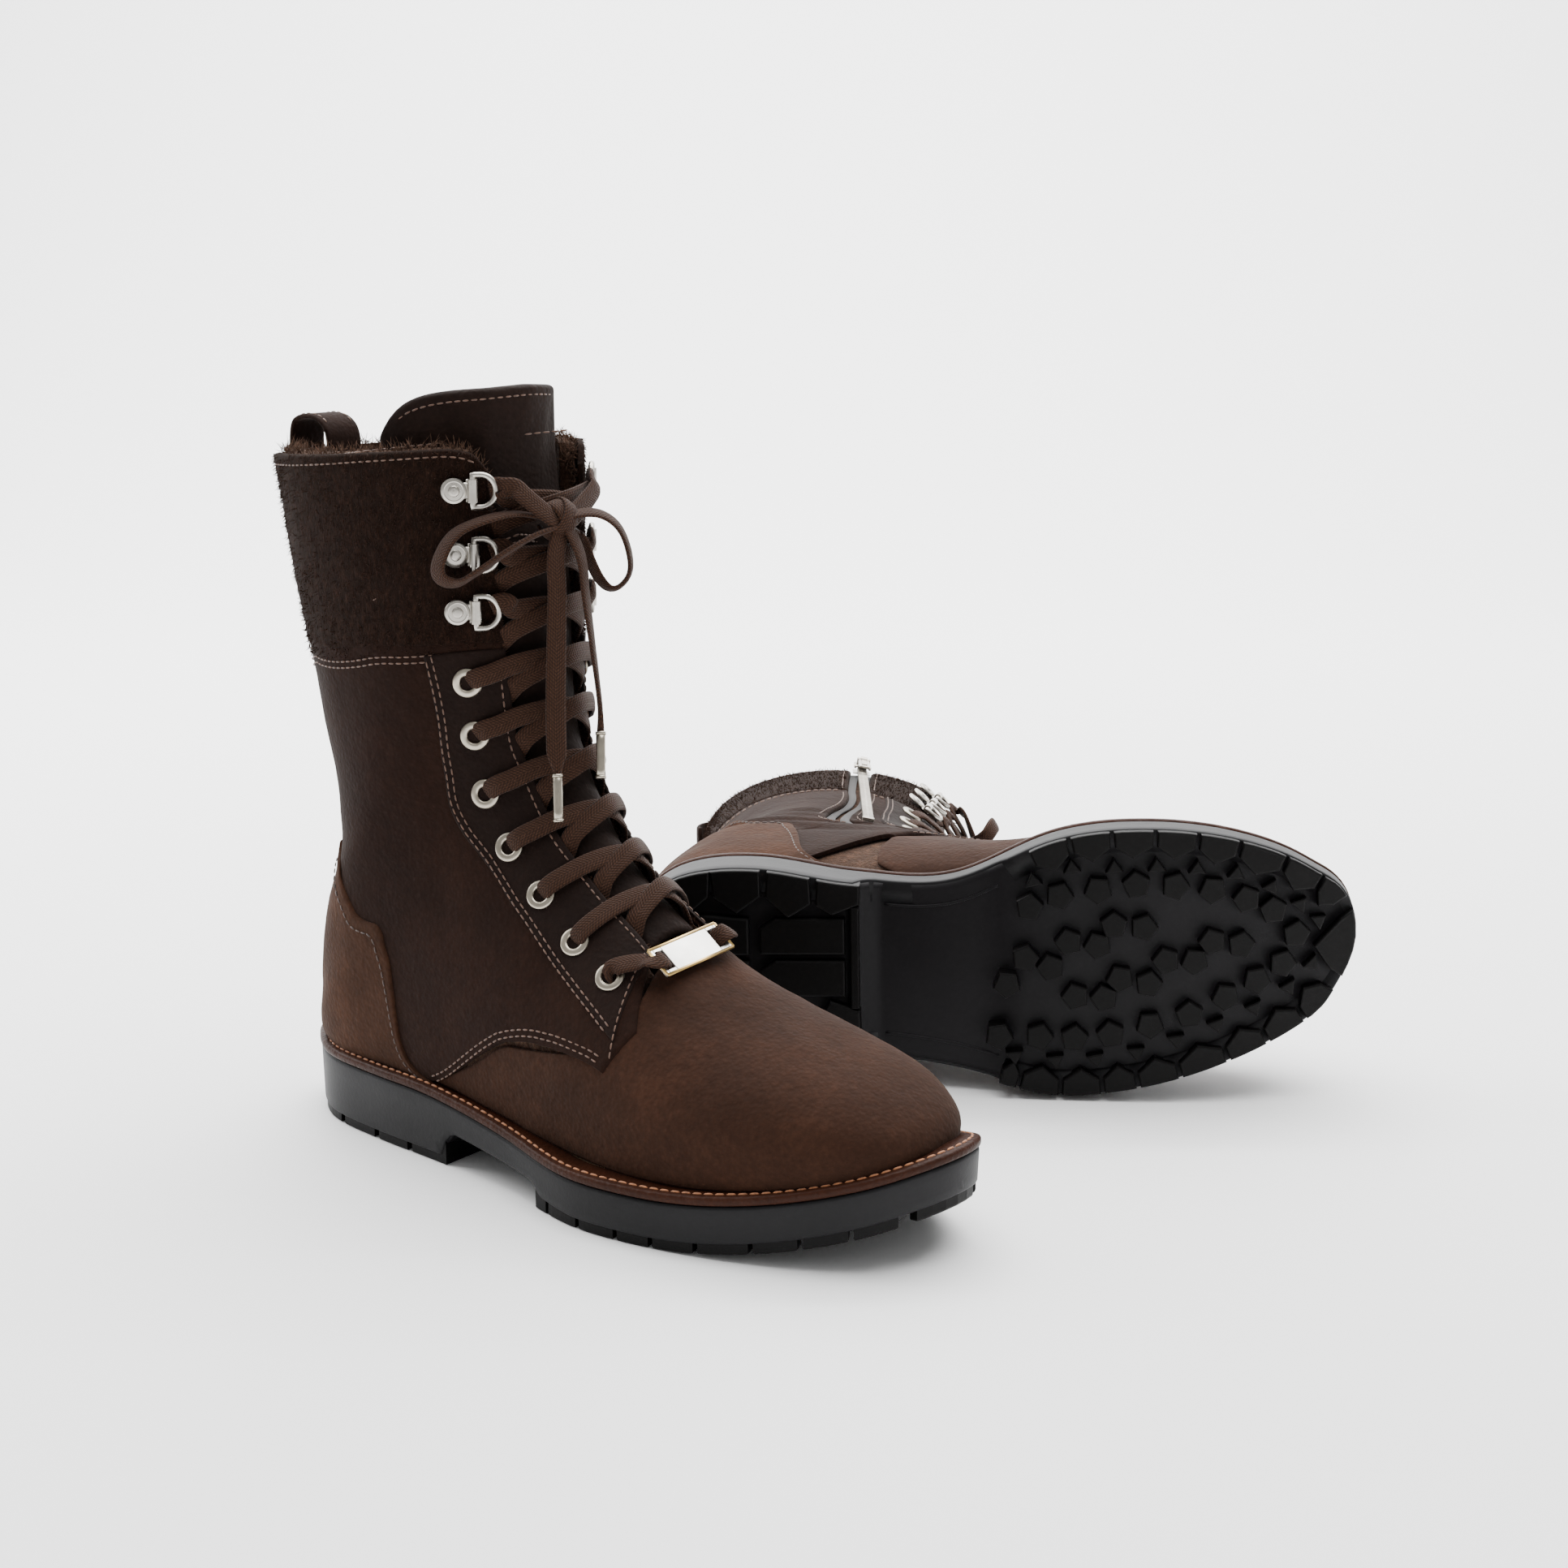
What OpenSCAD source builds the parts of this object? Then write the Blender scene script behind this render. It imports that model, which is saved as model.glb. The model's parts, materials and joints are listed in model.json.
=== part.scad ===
// A pair of fur-lined, lace-up ankle-high hunting boots with a medial zip.
// The right boot stands on its lugged sole. The left boot lies on its outer side.
// Boot frame: x forward from the back of the heel, y to the inner side, z up from the ground.

/* [Sole] */
// Length of the outsole, EU size 39
sole_l = 290; // [280:1:300]
// Height of the welt's top above the ground at the heel
heel_h = 28.5; // [26:0.5:31]
// Height of the welt's top under the ball of the foot
fore_h = 20.5; // [19:0.5:23]
// Rise of the toe
toe_spring = 18; // [14:0.5:22]
// Thickness of the welt
welt_t = 3.4; // [2.5:0.1:4.5]
// Depth of the tread
tread_d = 5; // [3:0.5:6]
// Width of the slots between the lugs
slot_w = 2.2; // [1.6:0.1:3]
// Front edge of the heel block
heel_breast = 99; // [94:1:104]

/* [Upper] */
// Thickness of the outer leather
leather_t = 1.6; // [1.2:0.1:2]
// Thickness of the fleece lining
fleece_t = 5; // [3:0.5:6]
// Thickness of the tongue
tongue_t = 3.2; // [2.5:0.1:5]

/* [Hardware] */
// Outer diameter of an eyelet
eyelet_d = 9.6; // [8:0.2:11]
// Wire diameter of a D-ring
ring_wire = 2; // [1.6:0.1:2.4]
// Inner width of a D-ring along its hinge
ring_w = 9.5; // [8:0.5:12]
// Reach of a D-ring from its hinge
ring_reach = 7.5; // [6.5:0.5:10]
// Lace diameter as a round cord of the same section
lace_d = 3.6; // [3:0.2:5]

/* [Pose] */
// Heading of the standing boot
right_yaw = -38.4; // [-60:0.1:-20]
// Heading of the lying boot
left_yaw = -4.4; // [-12:0.1:4]
// Forward lean of the lying boot's soft shaft, per millimetre of height
shaft_lean = 0.09; // [0:0.01:0.12]
// Share of its width that the lying boot's shaft loses at the rim
shaft_squash = 0.26; // [0:0.01:0.3]

/* [Hidden] */
$fn = 32;

RIGHT = 0;
LEFT = 1;
right_at = [-192.6, -32.4, 0];
left_at = [-88.6, -42.4, 52.5];
left_tilt = [-2.3, -1.2, left_yaw];
nubuck = [0.24, 0.17, 0.13];
wool = [0.17, 0.13, 0.11];
fleece = [0.62, 0.56, 0.48];
metal = [0.78, 0.72, 0.6];
rubber = [0.13, 0.13, 0.14];

// ---- shape of the last: one row per section, from the toe to the rim ----
// Each section lies on a slanted line from its low point B to its ridge point F:
// [xB, height of B above the feather line or z, xF, zF, yc, Y0l, Y0m, Wl, Wm, sc, n, m]
// Y0: half width at the feather line, W: widest half width, l: outer side, m: inner side,
// sc: where the widest point lies between B and F, n and m: how square the section is.
sections = [
  [284.5, 0, 284.5, 34.5, 5, 0, 0, 0.1, 0.1, .3, 2.2, 2.2],
  [282.3, 0, 282.8, 43, 5, 12, 9.5, 12.5, 10, .3, 2.2, 2.2],
  [275, 0, 276, 50, 4.8, 25, 20, 26, 21, .3, 2.3, 2.2],
  [260, 0, 261, 57.5, 4.5, 35, 31, 36.5, 32, .3, 2.4, 2.2],
  [238, 0, 239, 64.5, 4, 42.5, 37.5, 44.5, 38.5, .3, 2.4, 2.1],
  [212, 0, 213, 72, 3, 47.5, 40.5, 49, 41.5, .28, 2.2, 2],
  [184, 0, 189, 82.5, 2, 48.5, 39.5, 49.5, 41, .26, 2, 1.9],
  [156, 0, 172, 96, 1, 44, 32, 46, 37, .28, 1.9, 1.8],
  [128, 0, 158, 106.5, .5, 40, 26, 42.5, 35, .32, 1.9, 1.8],
  [98, 0, 147, 117, 0, 36.5, 26, 40, 35, .36, 1.9, 1.9],
  [66, 0, 138.5, 128, 0, 33, 30, 38.5, 35.5, .4, 2, 1.9],
  [36, 0, 132, 139, 0, 29.5, 29, 37.5, 36, .42, 2, 2],
  [15, 0, 128, 149, 0, 17, 17, 37.5, 36.5, .44, 2, 2],
  [7.5, 38, 123.5, 160, 0, 0, 0, 37.5, 37, .46, 2.1, 2],
  [12, 64, 121, 173, 0, 0, 0, 38, 37.5, .47, 2.1, 2],
  [22, 92, 119.5, 186, 0, 0, 0, 39, 38.5, .48, 2.1, 2],
  [22.5, 120, 119, 200, 0, 0, 0, 40.5, 40, .49, 2.1, 2],
  [16.5, 148, 119, 214, 0, 0, 0, 42, 41.5, .5, 2.1, 2],
  [10.5, 176, 119, 227.5, 0, 0, 0, 43.5, 43, .5, 2.1, 2],
  [5, 203, 119, 240.5, 0, 0, 0, 45, 44.5, .5, 2.1, 2],
  [0.5, 227, 119, 252, 0, 0, 0, 46, 45.5, .5, 2.1, 2],
  [-3.5, 247, 119, 262, 0, 0, 0, 46.5, 46, .5, 2.1, 2],
  [-7.5, 267, 119, 273, 0, 0, 0, 47, 46.5, .5, 2.1, 2],
  [-11, 287, 119, 285, 0, 0, 0, 47.5, 47, .5, 2.1, 2]];
last_row = len(sections) - 1;

function clip(x, a = 0, b = 1) = min(max(x, a), b);
function smooth(x) = let(t = clip(x)) t * t * (3 - 2 * t);
function mix(a, b, f) = a + (b - a) * f;
function spring(x) = toe_spring * pow(clip((x - 200) / (sole_l - 200)), 2);
// height of the feather line, which is the top of the welt
function feather(x) = heel_h + (fore_h - heel_h) * smooth((x - 75) / 100) + spring(x);
// height of the tread's lowest face
function tread(x) = 1.05 * spring(x);

function row(i) = let(r = sections[clip(i, 0, last_row)])
  [for (k = [0:11]) k == 1 && r[1] == 0 ? feather(r[0]) : r[k]];
function section(t) = let(
    i = clip(floor(t), 0, last_row - 1), f = t - i,
    p1 = row(i), p2 = row(i + 1),
    p0 = i > 0 ? row(i - 1) : 2 * p1 - p2,
    p3 = i < last_row - 1 ? row(i + 2) : 2 * p2 - p1)
  0.5 * (2 * p1 + (p2 - p0) * f + (2 * p0 - 5 * p1 + 4 * p2 - p3) * f * f
    + (3 * p1 - p0 - 3 * p2 + p3) * f * f * f);

// Point of the right boot's outer surface. t runs from the toe to the rim. p is -1 at the outer
// feather line or the back seam, 0 on the front ridge and 1 at the inner feather line.
function last_point(t, p) = let(
    a = section(t), out = p < 0, q = 1 - min(abs(p), 1),
    y0 = max(out ? a[5] : a[6], 0), w = out ? a[7] : a[8], sc = a[9],
    low = q < sc,
    u = low ? (sc - q) / sc * 90 : (q - sc) / (1 - sc) * 90,
    s = low ? sc * (1 - sin(u)) : sc + (1 - sc) * pow(max(sin(u), 0), 2 / a[11]),
    y = low ? y0 + (w - y0) * pow(max(cos(u), 0), 2 / a[10]) : w * pow(max(cos(u), 0), 2 / a[10]))
  [a[0] + (a[2] - a[0]) * s, a[4] + sign(p) * y, a[1] + (a[3] - a[1]) * s];

// The lying boot's soft shaft leans forward and sinks together under its own weight.
function flop(b, v) = b == RIGHT ? v : let(w = clip((v[2] - 90) / 160, 0, 1.2))
  [v[0] + shaft_lean * max(v[2] - 70, 0), v[1] * (1 - shaft_squash * w) - 4 * w, v[2]];
function base(b, t, p) = flop(b, last_point(t, p));
function unit(v) = v / max(norm(v), 1e-9);
function normal(b, t, p) = let(
    e = .02, pc = clip(p, -.97, .97), tc = clip(t, .15, last_row - .05),
    du = base(b, tc + e, pc) - base(b, tc - e, pc), dv = base(b, tc, pc + e) - base(b, tc, pc - e))
  unit(cross(dv, du));
function on(b, t, p, o) = base(b, t, p) + normal(b, t, p) * o;

// ---- a closed sheet over a grid of [t, p] cells, between the offsets low and high ----
function value(o, c) = is_function(o) ? o(c[0], c[1]) : o;
function ring_edges(n, m) = concat(
  [for (j = [0:m - 2]) [j, j + 1]], [for (i = [0:n - 2]) [i * m + m - 1, (i + 1) * m + m - 1]],
  [for (j = [m - 1:-1:1]) [(n - 1) * m + j, (n - 1) * m + j - 1]], [for (i = [n - 1:-1:1]) [i * m, (i - 1) * m]]);
module sheet(b, grid, low, high) {
  n = len(grid);
  m = len(grid[0]);
  k = n * m;
  outer = [for (r = grid, c = r) on(b, c[0], c[1], value(high, c))];
  inner = [for (r = grid, c = r) on(b, c[0], c[1], value(low, c))];
  // p runs one way or the other across the grid, and the faces turn with it
  turned = grid[floor(n / 2)][1][1] > grid[floor(n / 2)][0][1];
  quads = [for (i = [0:n - 2], j = [0:m - 2]) [i * m + j, i * m + j + 1, (i + 1) * m + j + 1, (i + 1) * m + j]];
  tris = concat(
    [for (q = quads) each [[q[0], q[1], q[2]], [q[0], q[2], q[3]]]],
    [for (q = quads) each [[k + q[2], k + q[1], k + q[0]], [k + q[3], k + q[2], k + q[0]]]],
    [for (e = ring_edges(n, m)) each [[e[1], e[0], k + e[0]], [e[1], k + e[0], k + e[1]]]]);
  polyhedron(points = concat(outer, inner), convexity = 6,
    faces = turned ? [for (f = tris) [f[2], f[1], f[0]]] : tris);
}
function steps(n) = [for (i = [0:n]) i / n];
// going round the back: 0..1 is the outer side, 1..2 the inner side
function round_p(s) = s <= 1 ? -s : 2 - s;

// ---- seams, as [t, p] curves ----
cuff_seam = [[-1, 18], [-.71, 17.75], [-.465, 16.95], [-.16, 15.4], [.16, 15.4], [.465, 16.95], [.71, 17.75], [1, 18]];
rim = [[-1, 21], [-.725, 21], [-.425, 20.75], [-.24, 20.55], [-.18, 20.25], [-.155, 19.4],
  [.155, 19.4], [.18, 20.25], [.24, 20.55], [.425, 20.75], [.725, 21], [1, 21]];
vamp_top = [[-1, 9.1], [-.85, 8.95], [-.705, 8.5], [-.62, 7.4], [-.585, 6.1], [-.3, 6.2], [0, 6.5],
  [.27, 6.6], [.4, 7.9], [.52, 9], [.6, 9.4], [.85, 8.9], [1, 8.3]];
outer_low = [[6.1, -.575], [7.4, -.61], [8.5, -.69], [9.1, -.84], [9.5, -.99]];
inner_low = [[6.6, .26], [7.9, .39], [9, .51], [9.5, .6], [9.7, .8], [9.9, .99]];
front_edge = [[6, .19], [7.1, .178], [9, .172], [12.4, .16], [16, .165], [21, .165]];
facing_back = [[6, .46], [7.9, .4], [10.2, .33], [13.4, .32], [16.4, .345]];
zip_p = .43;
zip_half = .035;

module vamp(b) {
  us = [for (i = [-14:14]) i / 14 * .985];
  sheet(b, [for (v = steps(15)) [for (u = us) [mix(.36, lookup(u, vamp_top), v), u]]], -leather_t, 0);
}
module outer_quarter(b) {
  sheet(b, [for (v = steps(15)) [for (u = steps(12)) let(
      t = mix(6.3, lookup(-mix(.16, 1, u), cuff_seam) - .05, v))
    [t, mix(-lookup(t, front_edge), lookup(t, outer_low), u)]]], -leather_t, 0);
}
module inner_quarter(b) {
  // in front of the zip and behind it
  sheet(b, [for (v = steps(13)) [for (u = steps(5)) let(
      t = mix(6.75, lookup(mix(.16, zip_p, u), cuff_seam) - .12, v))
    [t, mix(lookup(t, front_edge), min(lookup(t, inner_low), zip_p - zip_half), u)]]], -leather_t, 0);
  sheet(b, [for (v = steps(12)) [for (u = steps(8)) let(
      t = mix(9.4, lookup(mix(zip_p, 1, u), cuff_seam) - .05, v))
    [t, mix(zip_p + zip_half, max(lookup(t, inner_low), zip_p + zip_half + .02), u)]]], -leather_t, 0);
}
module cuff_panels(b) {
  sheet(b, [for (v = steps(5)) [for (s = steps(26)) let(
      p = round_p(mix(.16, 2 - zip_p - zip_half, s)))
    [mix(lookup(p, cuff_seam) + .06, lookup(p, rim), v), p]]], -leather_t, 0);
  sheet(b, [for (v = steps(5)) [for (s = steps(5)) let(p = mix(zip_p - zip_half, .16, s))
    [mix(lookup(p, cuff_seam) + .06, lookup(p, rim), v), p]]], -leather_t, 0);
}
module facing(b, side) {
  sheet(b, [for (v = steps(14)) [for (u = steps(3)) let(t = mix(6.8, lookup(side * mix(.16, .345, u), cuff_seam) - .12, v),
      p = side * mix(lookup(t, front_edge) + .005, min(lookup(t, facing_back), side > 0 ? zip_p - .05 : 1), u))
    [t, p]]], .3, 1.45);
}
// the counter patch wraps the heel, from one side of the welt round the back to the other
patch_front = [[9.5, -.93], [10.4, -.7], [11.95, -.55], [13.4, -.6], [14.6, -.7], [15.1, -.8]];
module counter(b, t0, t1, o0, o1, widen) {
  for (side = [-1, 1])
    sheet(b, [for (v = steps(9)) [for (u = steps(6)) let(t = mix(t0, t1, v))
      [t, side * mix(max(-lookup(t, patch_front), .56) + widen, .93, u)]]], o0, o1);
}
module toe_cap(b) {
  sheet(b, [for (v = steps(6)) [for (u = [-10:10]) [mix(1.1, 3.4, v), u / 10 * .8]]], -leather_t - 1.55, -leather_t - .4);
}
lining_out = -leather_t - 1.6;
module fleece_lining(b) {
  sheet(b, [for (v = steps(9)) [for (u = [-10:10]) [mix(1.4, 6.2, v), u / 10 * .92]]], lining_out - fleece_t, lining_out);
  for (side = [-1, 1])
    sheet(b, [for (v = steps(16)) [for (u = steps(9)) let(
        t = mix(6.6, lookup(side * mix(.24, 1, u), rim), v))
      [t, side * mix(mix(.24, .22, v), .975, u)]]], lining_out - fleece_t, lining_out);
}
// the tongue tucks in behind the lining at its sides and leans in towards its top
function tongue_in(t, p) = -2.6 - 10 * smooth((abs(p) - .13) / .14) - 7 * smooth((t - 15.5) / 5) * (1 - smooth((abs(p) - .1) / .2));
module tongue_panel(b) {
  sheet(b, [for (v = steps(15)) [for (i = [-7:7]) let(
      u = i / 7, half = mix(.17, .44, smooth((v - .35) / .5)), top = 22.2 - 1.7 * pow(abs(u), 3))
    [mix(6.9, top, v), u * half]]], function(t, p) tongue_in(t, p) - tongue_t, function(t, p) tongue_in(t, p));
}

// ---- sole ----
// half widths of the sole's outline, as [share of the length, outer side, inner side]
outline_half = [[0, 0, 0], [.006, 8.5, 8.5], [.035, 19.6, 19], [.1, 32.6, 32], [.2, 38, 35], [.33, 41, 29.3],
  [.46, 45.5, 29], [.6, 54.5, 46.2], [.72, 51, 50], [.84, 40.5, 45], [.94, 26, 32], [.985, 14, 16.5], [1, 0, 0]];
tip_y = 6;
function edge_half(x, k) = let(
    f = clip(x / sole_l), i = max([for (j = [0:len(outline_half) - 2]) outline_half[j][0] <= f ? j : 0]),
    a = outline_half[i], c = outline_half[i + 1],
    h = c[0] - a[0], u = (f - a[0]) / h,
    s1 = slope(i, k) * h, s2 = slope(i + 1, k) * h)
  i == 0 || i == len(outline_half) - 2
    ? mix(a[k], c[k], i == 0 ? sqrt(u) : 1 - sqrt(1 - u))
    : (2 * pow(u, 3) - 3 * u * u + 1) * a[k] + (pow(u, 3) - 2 * u * u + u) * s1
      + (-2 * pow(u, 3) + 3 * u * u) * c[k] + (pow(u, 3) - u * u) * s2;
function slope(i, k) = let(a = outline_half[max(i - 1, 0)], c = outline_half[min(i + 1, len(outline_half) - 1)])
  (c[k] - a[k]) / (c[0] - a[0]);
function edge_y(x, side, grow) = let(xc = clip(x, 0, sole_l), h = edge_half(xc, side < 0 ? 1 : 2))
  side * max(h + grow, .6) + tip_shift(xc);
function tip_shift(x) = tip_y * smooth((x / sole_l - .94) / .06);
xs_sole = [for (i = [0:26]) let(u = i / 26) sole_l * (1 - cos(180 * u)) / 2];
function sole_outline(grow) = concat(
  [for (x = xs_sole) [mix(-grow, sole_l + grow, x / sole_l), edge_y(x, -1, grow)]],
  [for (i = [len(xs_sole) - 1:-1:0]) let(x = xs_sole[i]) [mix(-grow, sole_l + grow, x / sole_l), edge_y(x, 1, grow)]]);
xs_side = [for (i = [0:12]) mix(-3, sole_l + 3, i / 12)];
module side_band(low, high) {
  rotate([90, 0, 0]) linear_extrude(height = 140, center = true)
    polygon(concat([for (x = xs_side) [x, low(x)]], [for (i = [12:-1:0]) [xs_side[i], high(xs_side[i])]]));
}
waist_low = 8.5;
function under(x) = x < heel_breast ? 0 : tread(x);
// pentagonal lugs of the forefoot: [x, y, heading]
lugs = [
  [181, 28, 60], [181, -34, -60], [196, 12, 20], [196, -16, 200], [212, 30, 100], [212, -36, -100],
  [214, -2, 0], [229, 14, 140], [229, -18, 40], [246, 28, 70], [246, -28, -70], [247, 0, 180],
  [260, 13, 20], [260, -11, 160]];
module pentagon(x, y, a, r = 6.4) {
  translate([x, y]) rotate(a) polygon([for (k = [0:4]) r * [cos(72 * k), sin(72 * k)]]);
}
heel_slots = [35, 59, 77];
fore_slots = [164, 181, 198, 215, 232, 248, 264];
module outsole(b) {
  difference() {
    intersection() {
      translate([0, 0, -1]) linear_extrude(height = 60) polygon(sole_outline(0));
      rotate([90, 0, 0]) linear_extrude(height = 140, center = true) polygon(concat(
        [[-3, 0], [heel_breast, 0], [heel_breast + 3, 13], [125, 11], [152, waist_low], [156, 0]],
        [for (i = [0:7]) let(x = mix(200, sole_l + 3, i / 7)) [x, tread(x)]],
        [for (i = [24:-1:0]) let(x = mix(-3, sole_l + 3, i / 24)) [x, feather(x) - welt_t - .25]]));
    }
    // slots through the edge of the heel and of the forefoot
    for (side = [-1, 1]) {
      for (x = heel_slots)
        translate([x, side * 34, 4]) rotate([0, 0, side * 4]) cube([slot_w, 34, 10], center = true);
      for (x = fore_slots)
        translate([x, side * (edge_half(x, side < 0 ? 1 : 2) - 2), tread(x) + 3])
          rotate([0, 0, -side * (x - 205) * .35]) cube([slot_w, 24, 9], center = true);
    }
    // sunk centre of the forefoot tread, with its lugs left standing
    intersection() {
      translate([0, 0, -1]) linear_extrude(height = 40) difference() {
        polygon(concat(
          [for (x = [172:14:268]) [x, -edge_half(x, 1) + 14]],
          [for (x = [268:-14:172]) [x, edge_half(x, 2) - 14]]));
        for (l = lugs) pentagon(l[0], l[1], l[2]);
      }
      rotate([90, 0, 0]) linear_extrude(height = 140, center = true) polygon(concat(
        [for (i = [0:8]) let(x = mix(160, sole_l, i / 8)) [x, tread(x) - 3]],
        [for (i = [8:-1:0]) let(x = mix(160, sole_l, i / 8)) [x, tread(x) + tread_d]]));
    }
    // sunk panels and cross groove of the heel
    translate([49, 0, 1]) cube([44, 3, 8], center = true);
    for (side = [-1, 1])
      translate([59, side * 12, 0]) cube([30, 14, 7], center = true);
    // pocket of the shank
    translate([92, -7, feather(130) - welt_t - 4]) cube([58, 14, 20]);
  }
}
module shank(b) translate([94, -6, feather(130) - welt_t - 3.9]) cube([54, 12, 1.6]);

module loop_band(outer, inner, low, high) {
  n = len(outer);
  pts = concat(
    [for (p = outer) [p[0], p[1], low(p[0])]], [for (p = outer) [p[0], p[1], high(p[0])]],
    [for (p = inner) [p[0], p[1], high(p[0])]], [for (p = inner) [p[0], p[1], low(p[0])]]);
  faces = [for (k = [0:3], i = [0:n - 1]) let(a = k * n + i, c = k * n + (i + 1) % n, d = (k + 1) % 4 * n)
    each [[a, d + i, c], [c, d + i, d + (i + 1) % n]]];
  polyhedron(points = pts, faces = faces, convexity = 6);
}
module welt(b) {
  loop_band(sole_outline(.8), sole_outline(-8), function(x) feather(clip(x, 0, sole_l)) - welt_t,
    function(x) feather(clip(x, 0, sole_l)) - .1);
}
// a plate that follows the feather line, inside the outline
module plate(grow, low, high, x0, x1, n = 20) {
  xs = [for (i = [0:n]) mix(x0, x1, (1 - cos(180 * i / n)) / 2)];
  pts = [for (x = xs) let(xx = mix(-grow, sole_l + grow, x / sole_l)) each [
    [xx, edge_y(x, -1, grow), feather(xx) + low], [xx, edge_y(x, 1, grow), feather(xx) + low],
    [xx, edge_y(x, 1, grow), feather(xx) + high], [xx, edge_y(x, -1, grow), feather(xx) + high]]];
  faces = concat([[0, 1, 2], [0, 2, 3]],
    [for (i = [0:n - 1], k = [0:3]) let(a = 4 * i + k, c = 4 * i + (k + 1) % 4)
      each [[a, a + 4, c], [c, a + 4, c + 4]]],
    [[4 * n, 4 * n + 2, 4 * n + 1], [4 * n, 4 * n + 3, 4 * n + 2]]);
  polyhedron(points = pts, faces = faces, convexity = 4);
}
module insole_board(b) plate(-8.8, -welt_t + .1, -.7, 3, sole_l - 3);
module footbed(b) plate(-15.5, -.4, 4.4, 4, sole_l - 4);

// ---- hardware on the surface: z along the normal, x towards the front edge ----
module at_surface(b, t, p, o) {
  n = normal(b, t, p);
  up = unit(base(b, t + .1, p) - base(b, t - .1, p));
  side = unit(cross(up, n));
  u2 = cross(n, side);
  c = on(b, t, p, o);
  multmatrix([[side[0], u2[0], n[0], c[0]], [side[1], u2[1], n[1], c[1]], [side[2], u2[2], n[2], c[2]], [0, 0, 0, 1]])
    children();
}
eyelet_at = [[6.95, .335], [7.95, .325], [9.2, .3], [10.6, .28], [12.4, .262], [13.9, .255], [15.2, .262]];
ring_at = [[16.55, .2], [17.8, .19], [19.3, .18]];
module eyelet_set(b) {
  for (side = [-1, 1], e = eyelet_at)
    at_surface(b, e[0], side * e[1], 1.35) rotate_extrude() {
      translate([2.6, 0]) square([eyelet_d / 2 - 2.6, .9]);
      translate([2.2, -3.2]) square([.5, 4.1]);
      translate([2.2, -3.6]) square([1.6, .5]);
    }
}
// The three rings of one side share a straight hinge line near the surface.
function hinge_end(b, side, k) = on(b, ring_at[k][0], side * (ring_at[k][1] + .02), 3.4);
function hinge_dir(b, side) = unit(hinge_end(b, side, 2) - hinge_end(b, side, 0));
function hinge_point(b, side, k) = let(a = hinge_end(b, side, 0), d = hinge_dir(b, side))
  a + d * ((hinge_end(b, side, k) - a) * d);
function hinge_normal(b, side) = let(d = hinge_dir(b, side), n = normal(b, ring_at[1][0], side * ring_at[1][1]))
  unit(n - d * (n * d));
module at_hinge(b, side, k) {
  d = hinge_dir(b, side);
  n = hinge_normal(b, side);
  f = cross(d, n) * (cross(d, n) * [1, 0, 0] > 0 ? 1 : -1);
  c = hinge_point(b, side, k);
  multmatrix([[f[0], d[0], n[0], c[0]], [f[1], d[1], n[1], c[1]], [f[2], d[2], n[2], c[2]], [0, 0, 0, 1]]) children();
}
module ring_plate() {
  // plate with two knuckles that hold the ring's leg
  for (s = [-1, 1])
    translate([0, s * 2.4, 0]) rotate([90, 0, 0]) difference() {
      cylinder(r = ring_wire / 2 + 1, h = 2.4, center = true);
      cylinder(r = ring_wire / 2 + .08, h = 4, center = true);
    }
  translate([-9.5, -3.6, -ring_wire / 2 - 1]) cube([8.5, 7.2, 1]);
  translate([-6, 0, -ring_wire / 2 - 3.6]) cylinder(r = 1.3, h = 2.8);
  translate([-6, 0, -ring_wire / 2 - .05]) cylinder(r = 2.6, h = .9);
}
module ring() {
  rotate([90, 0, 0]) cylinder(r = ring_wire / 2, h = ring_w + 1, center = true);
  translate([0, 0, -ring_wire / 2 - .1]) linear_extrude(height = ring_wire + .2) difference() {
    union() {
      translate([ring_reach - ring_w / 2, 0]) circle(r = ring_w / 2 + ring_wire);
      translate([-ring_wire / 2 - .1, -ring_w / 2 - ring_wire]) square([ring_reach - ring_w / 2, ring_w + 2 * ring_wire]);
    }
    translate([ring_reach - ring_w / 2, 0]) circle(r = ring_w / 2);
    translate([-9, -ring_w / 2]) square([9 + ring_reach - ring_w / 2, ring_w]);
  }
}
module ring_plates(b) for (side = [-1, 1], k = [0:2]) at_hinge(b, side, k) ring_plate();
module rings(b, side) for (k = [0:2]) at_hinge(b, side, k) ring();

// ---- lace ----
module tube(points, r, sides = 8) {
  n = len(points);
  dirs = [for (i = [0:n - 1]) unit(points[min(i + 1, n - 1)] - points[max(i - 1, 0)])];
  ref = [for (d = dirs) unit(cross(d, [1, 0, .3]))];
  pts = [for (i = [0:n - 1], k = [0:sides - 1]) let(a = 360 * k / sides, w = cross(dirs[i], ref[i]))
    points[i] + r * (cos(a) * ref[i] + sin(a) * w)];
  faces = concat([[for (k = [0:sides - 1]) sides - 1 - k]],
    [for (i = [0:n - 2], k = [0:sides - 1]) let(a = i * sides + k, c = i * sides + (k + 1) % sides)
      each [[a, c, c + sides], [a, c + sides, a + sides]]],
    [[for (k = [0:sides - 1]) (n - 1) * sides + k]]);
  polyhedron(points = pts, faces = faces, convexity = 10);
}
// crossings over the tongue, from one row of eyelets to the next
lace_rows = concat([for (e = eyelet_at) [e[0], e[1] - .1]], [for (e = ring_at) [e[0] - .1, e[1] - .08]]);
module crossings(b) {
  n = len(lace_rows) - 1;
  // the two halves of the lace zigzag up the tongue, one under the other
  for (side = [-1, 1])
    tube([for (k = [0:n]) let(r = lace_rows[k], q = lace_rows[min(k + 1, n)], s = side * (k % 2 == 0 ? 1 : -1))
      each concat([on(b, r[0], s * r[1], 5.1 + side * .4)],
        k < n ? [on(b, mix(r[0], q[0], .5), 0, side < 0 ? 2.2 : 2.6 + lace_d)] : [])], lace_d / 2);
}
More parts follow.
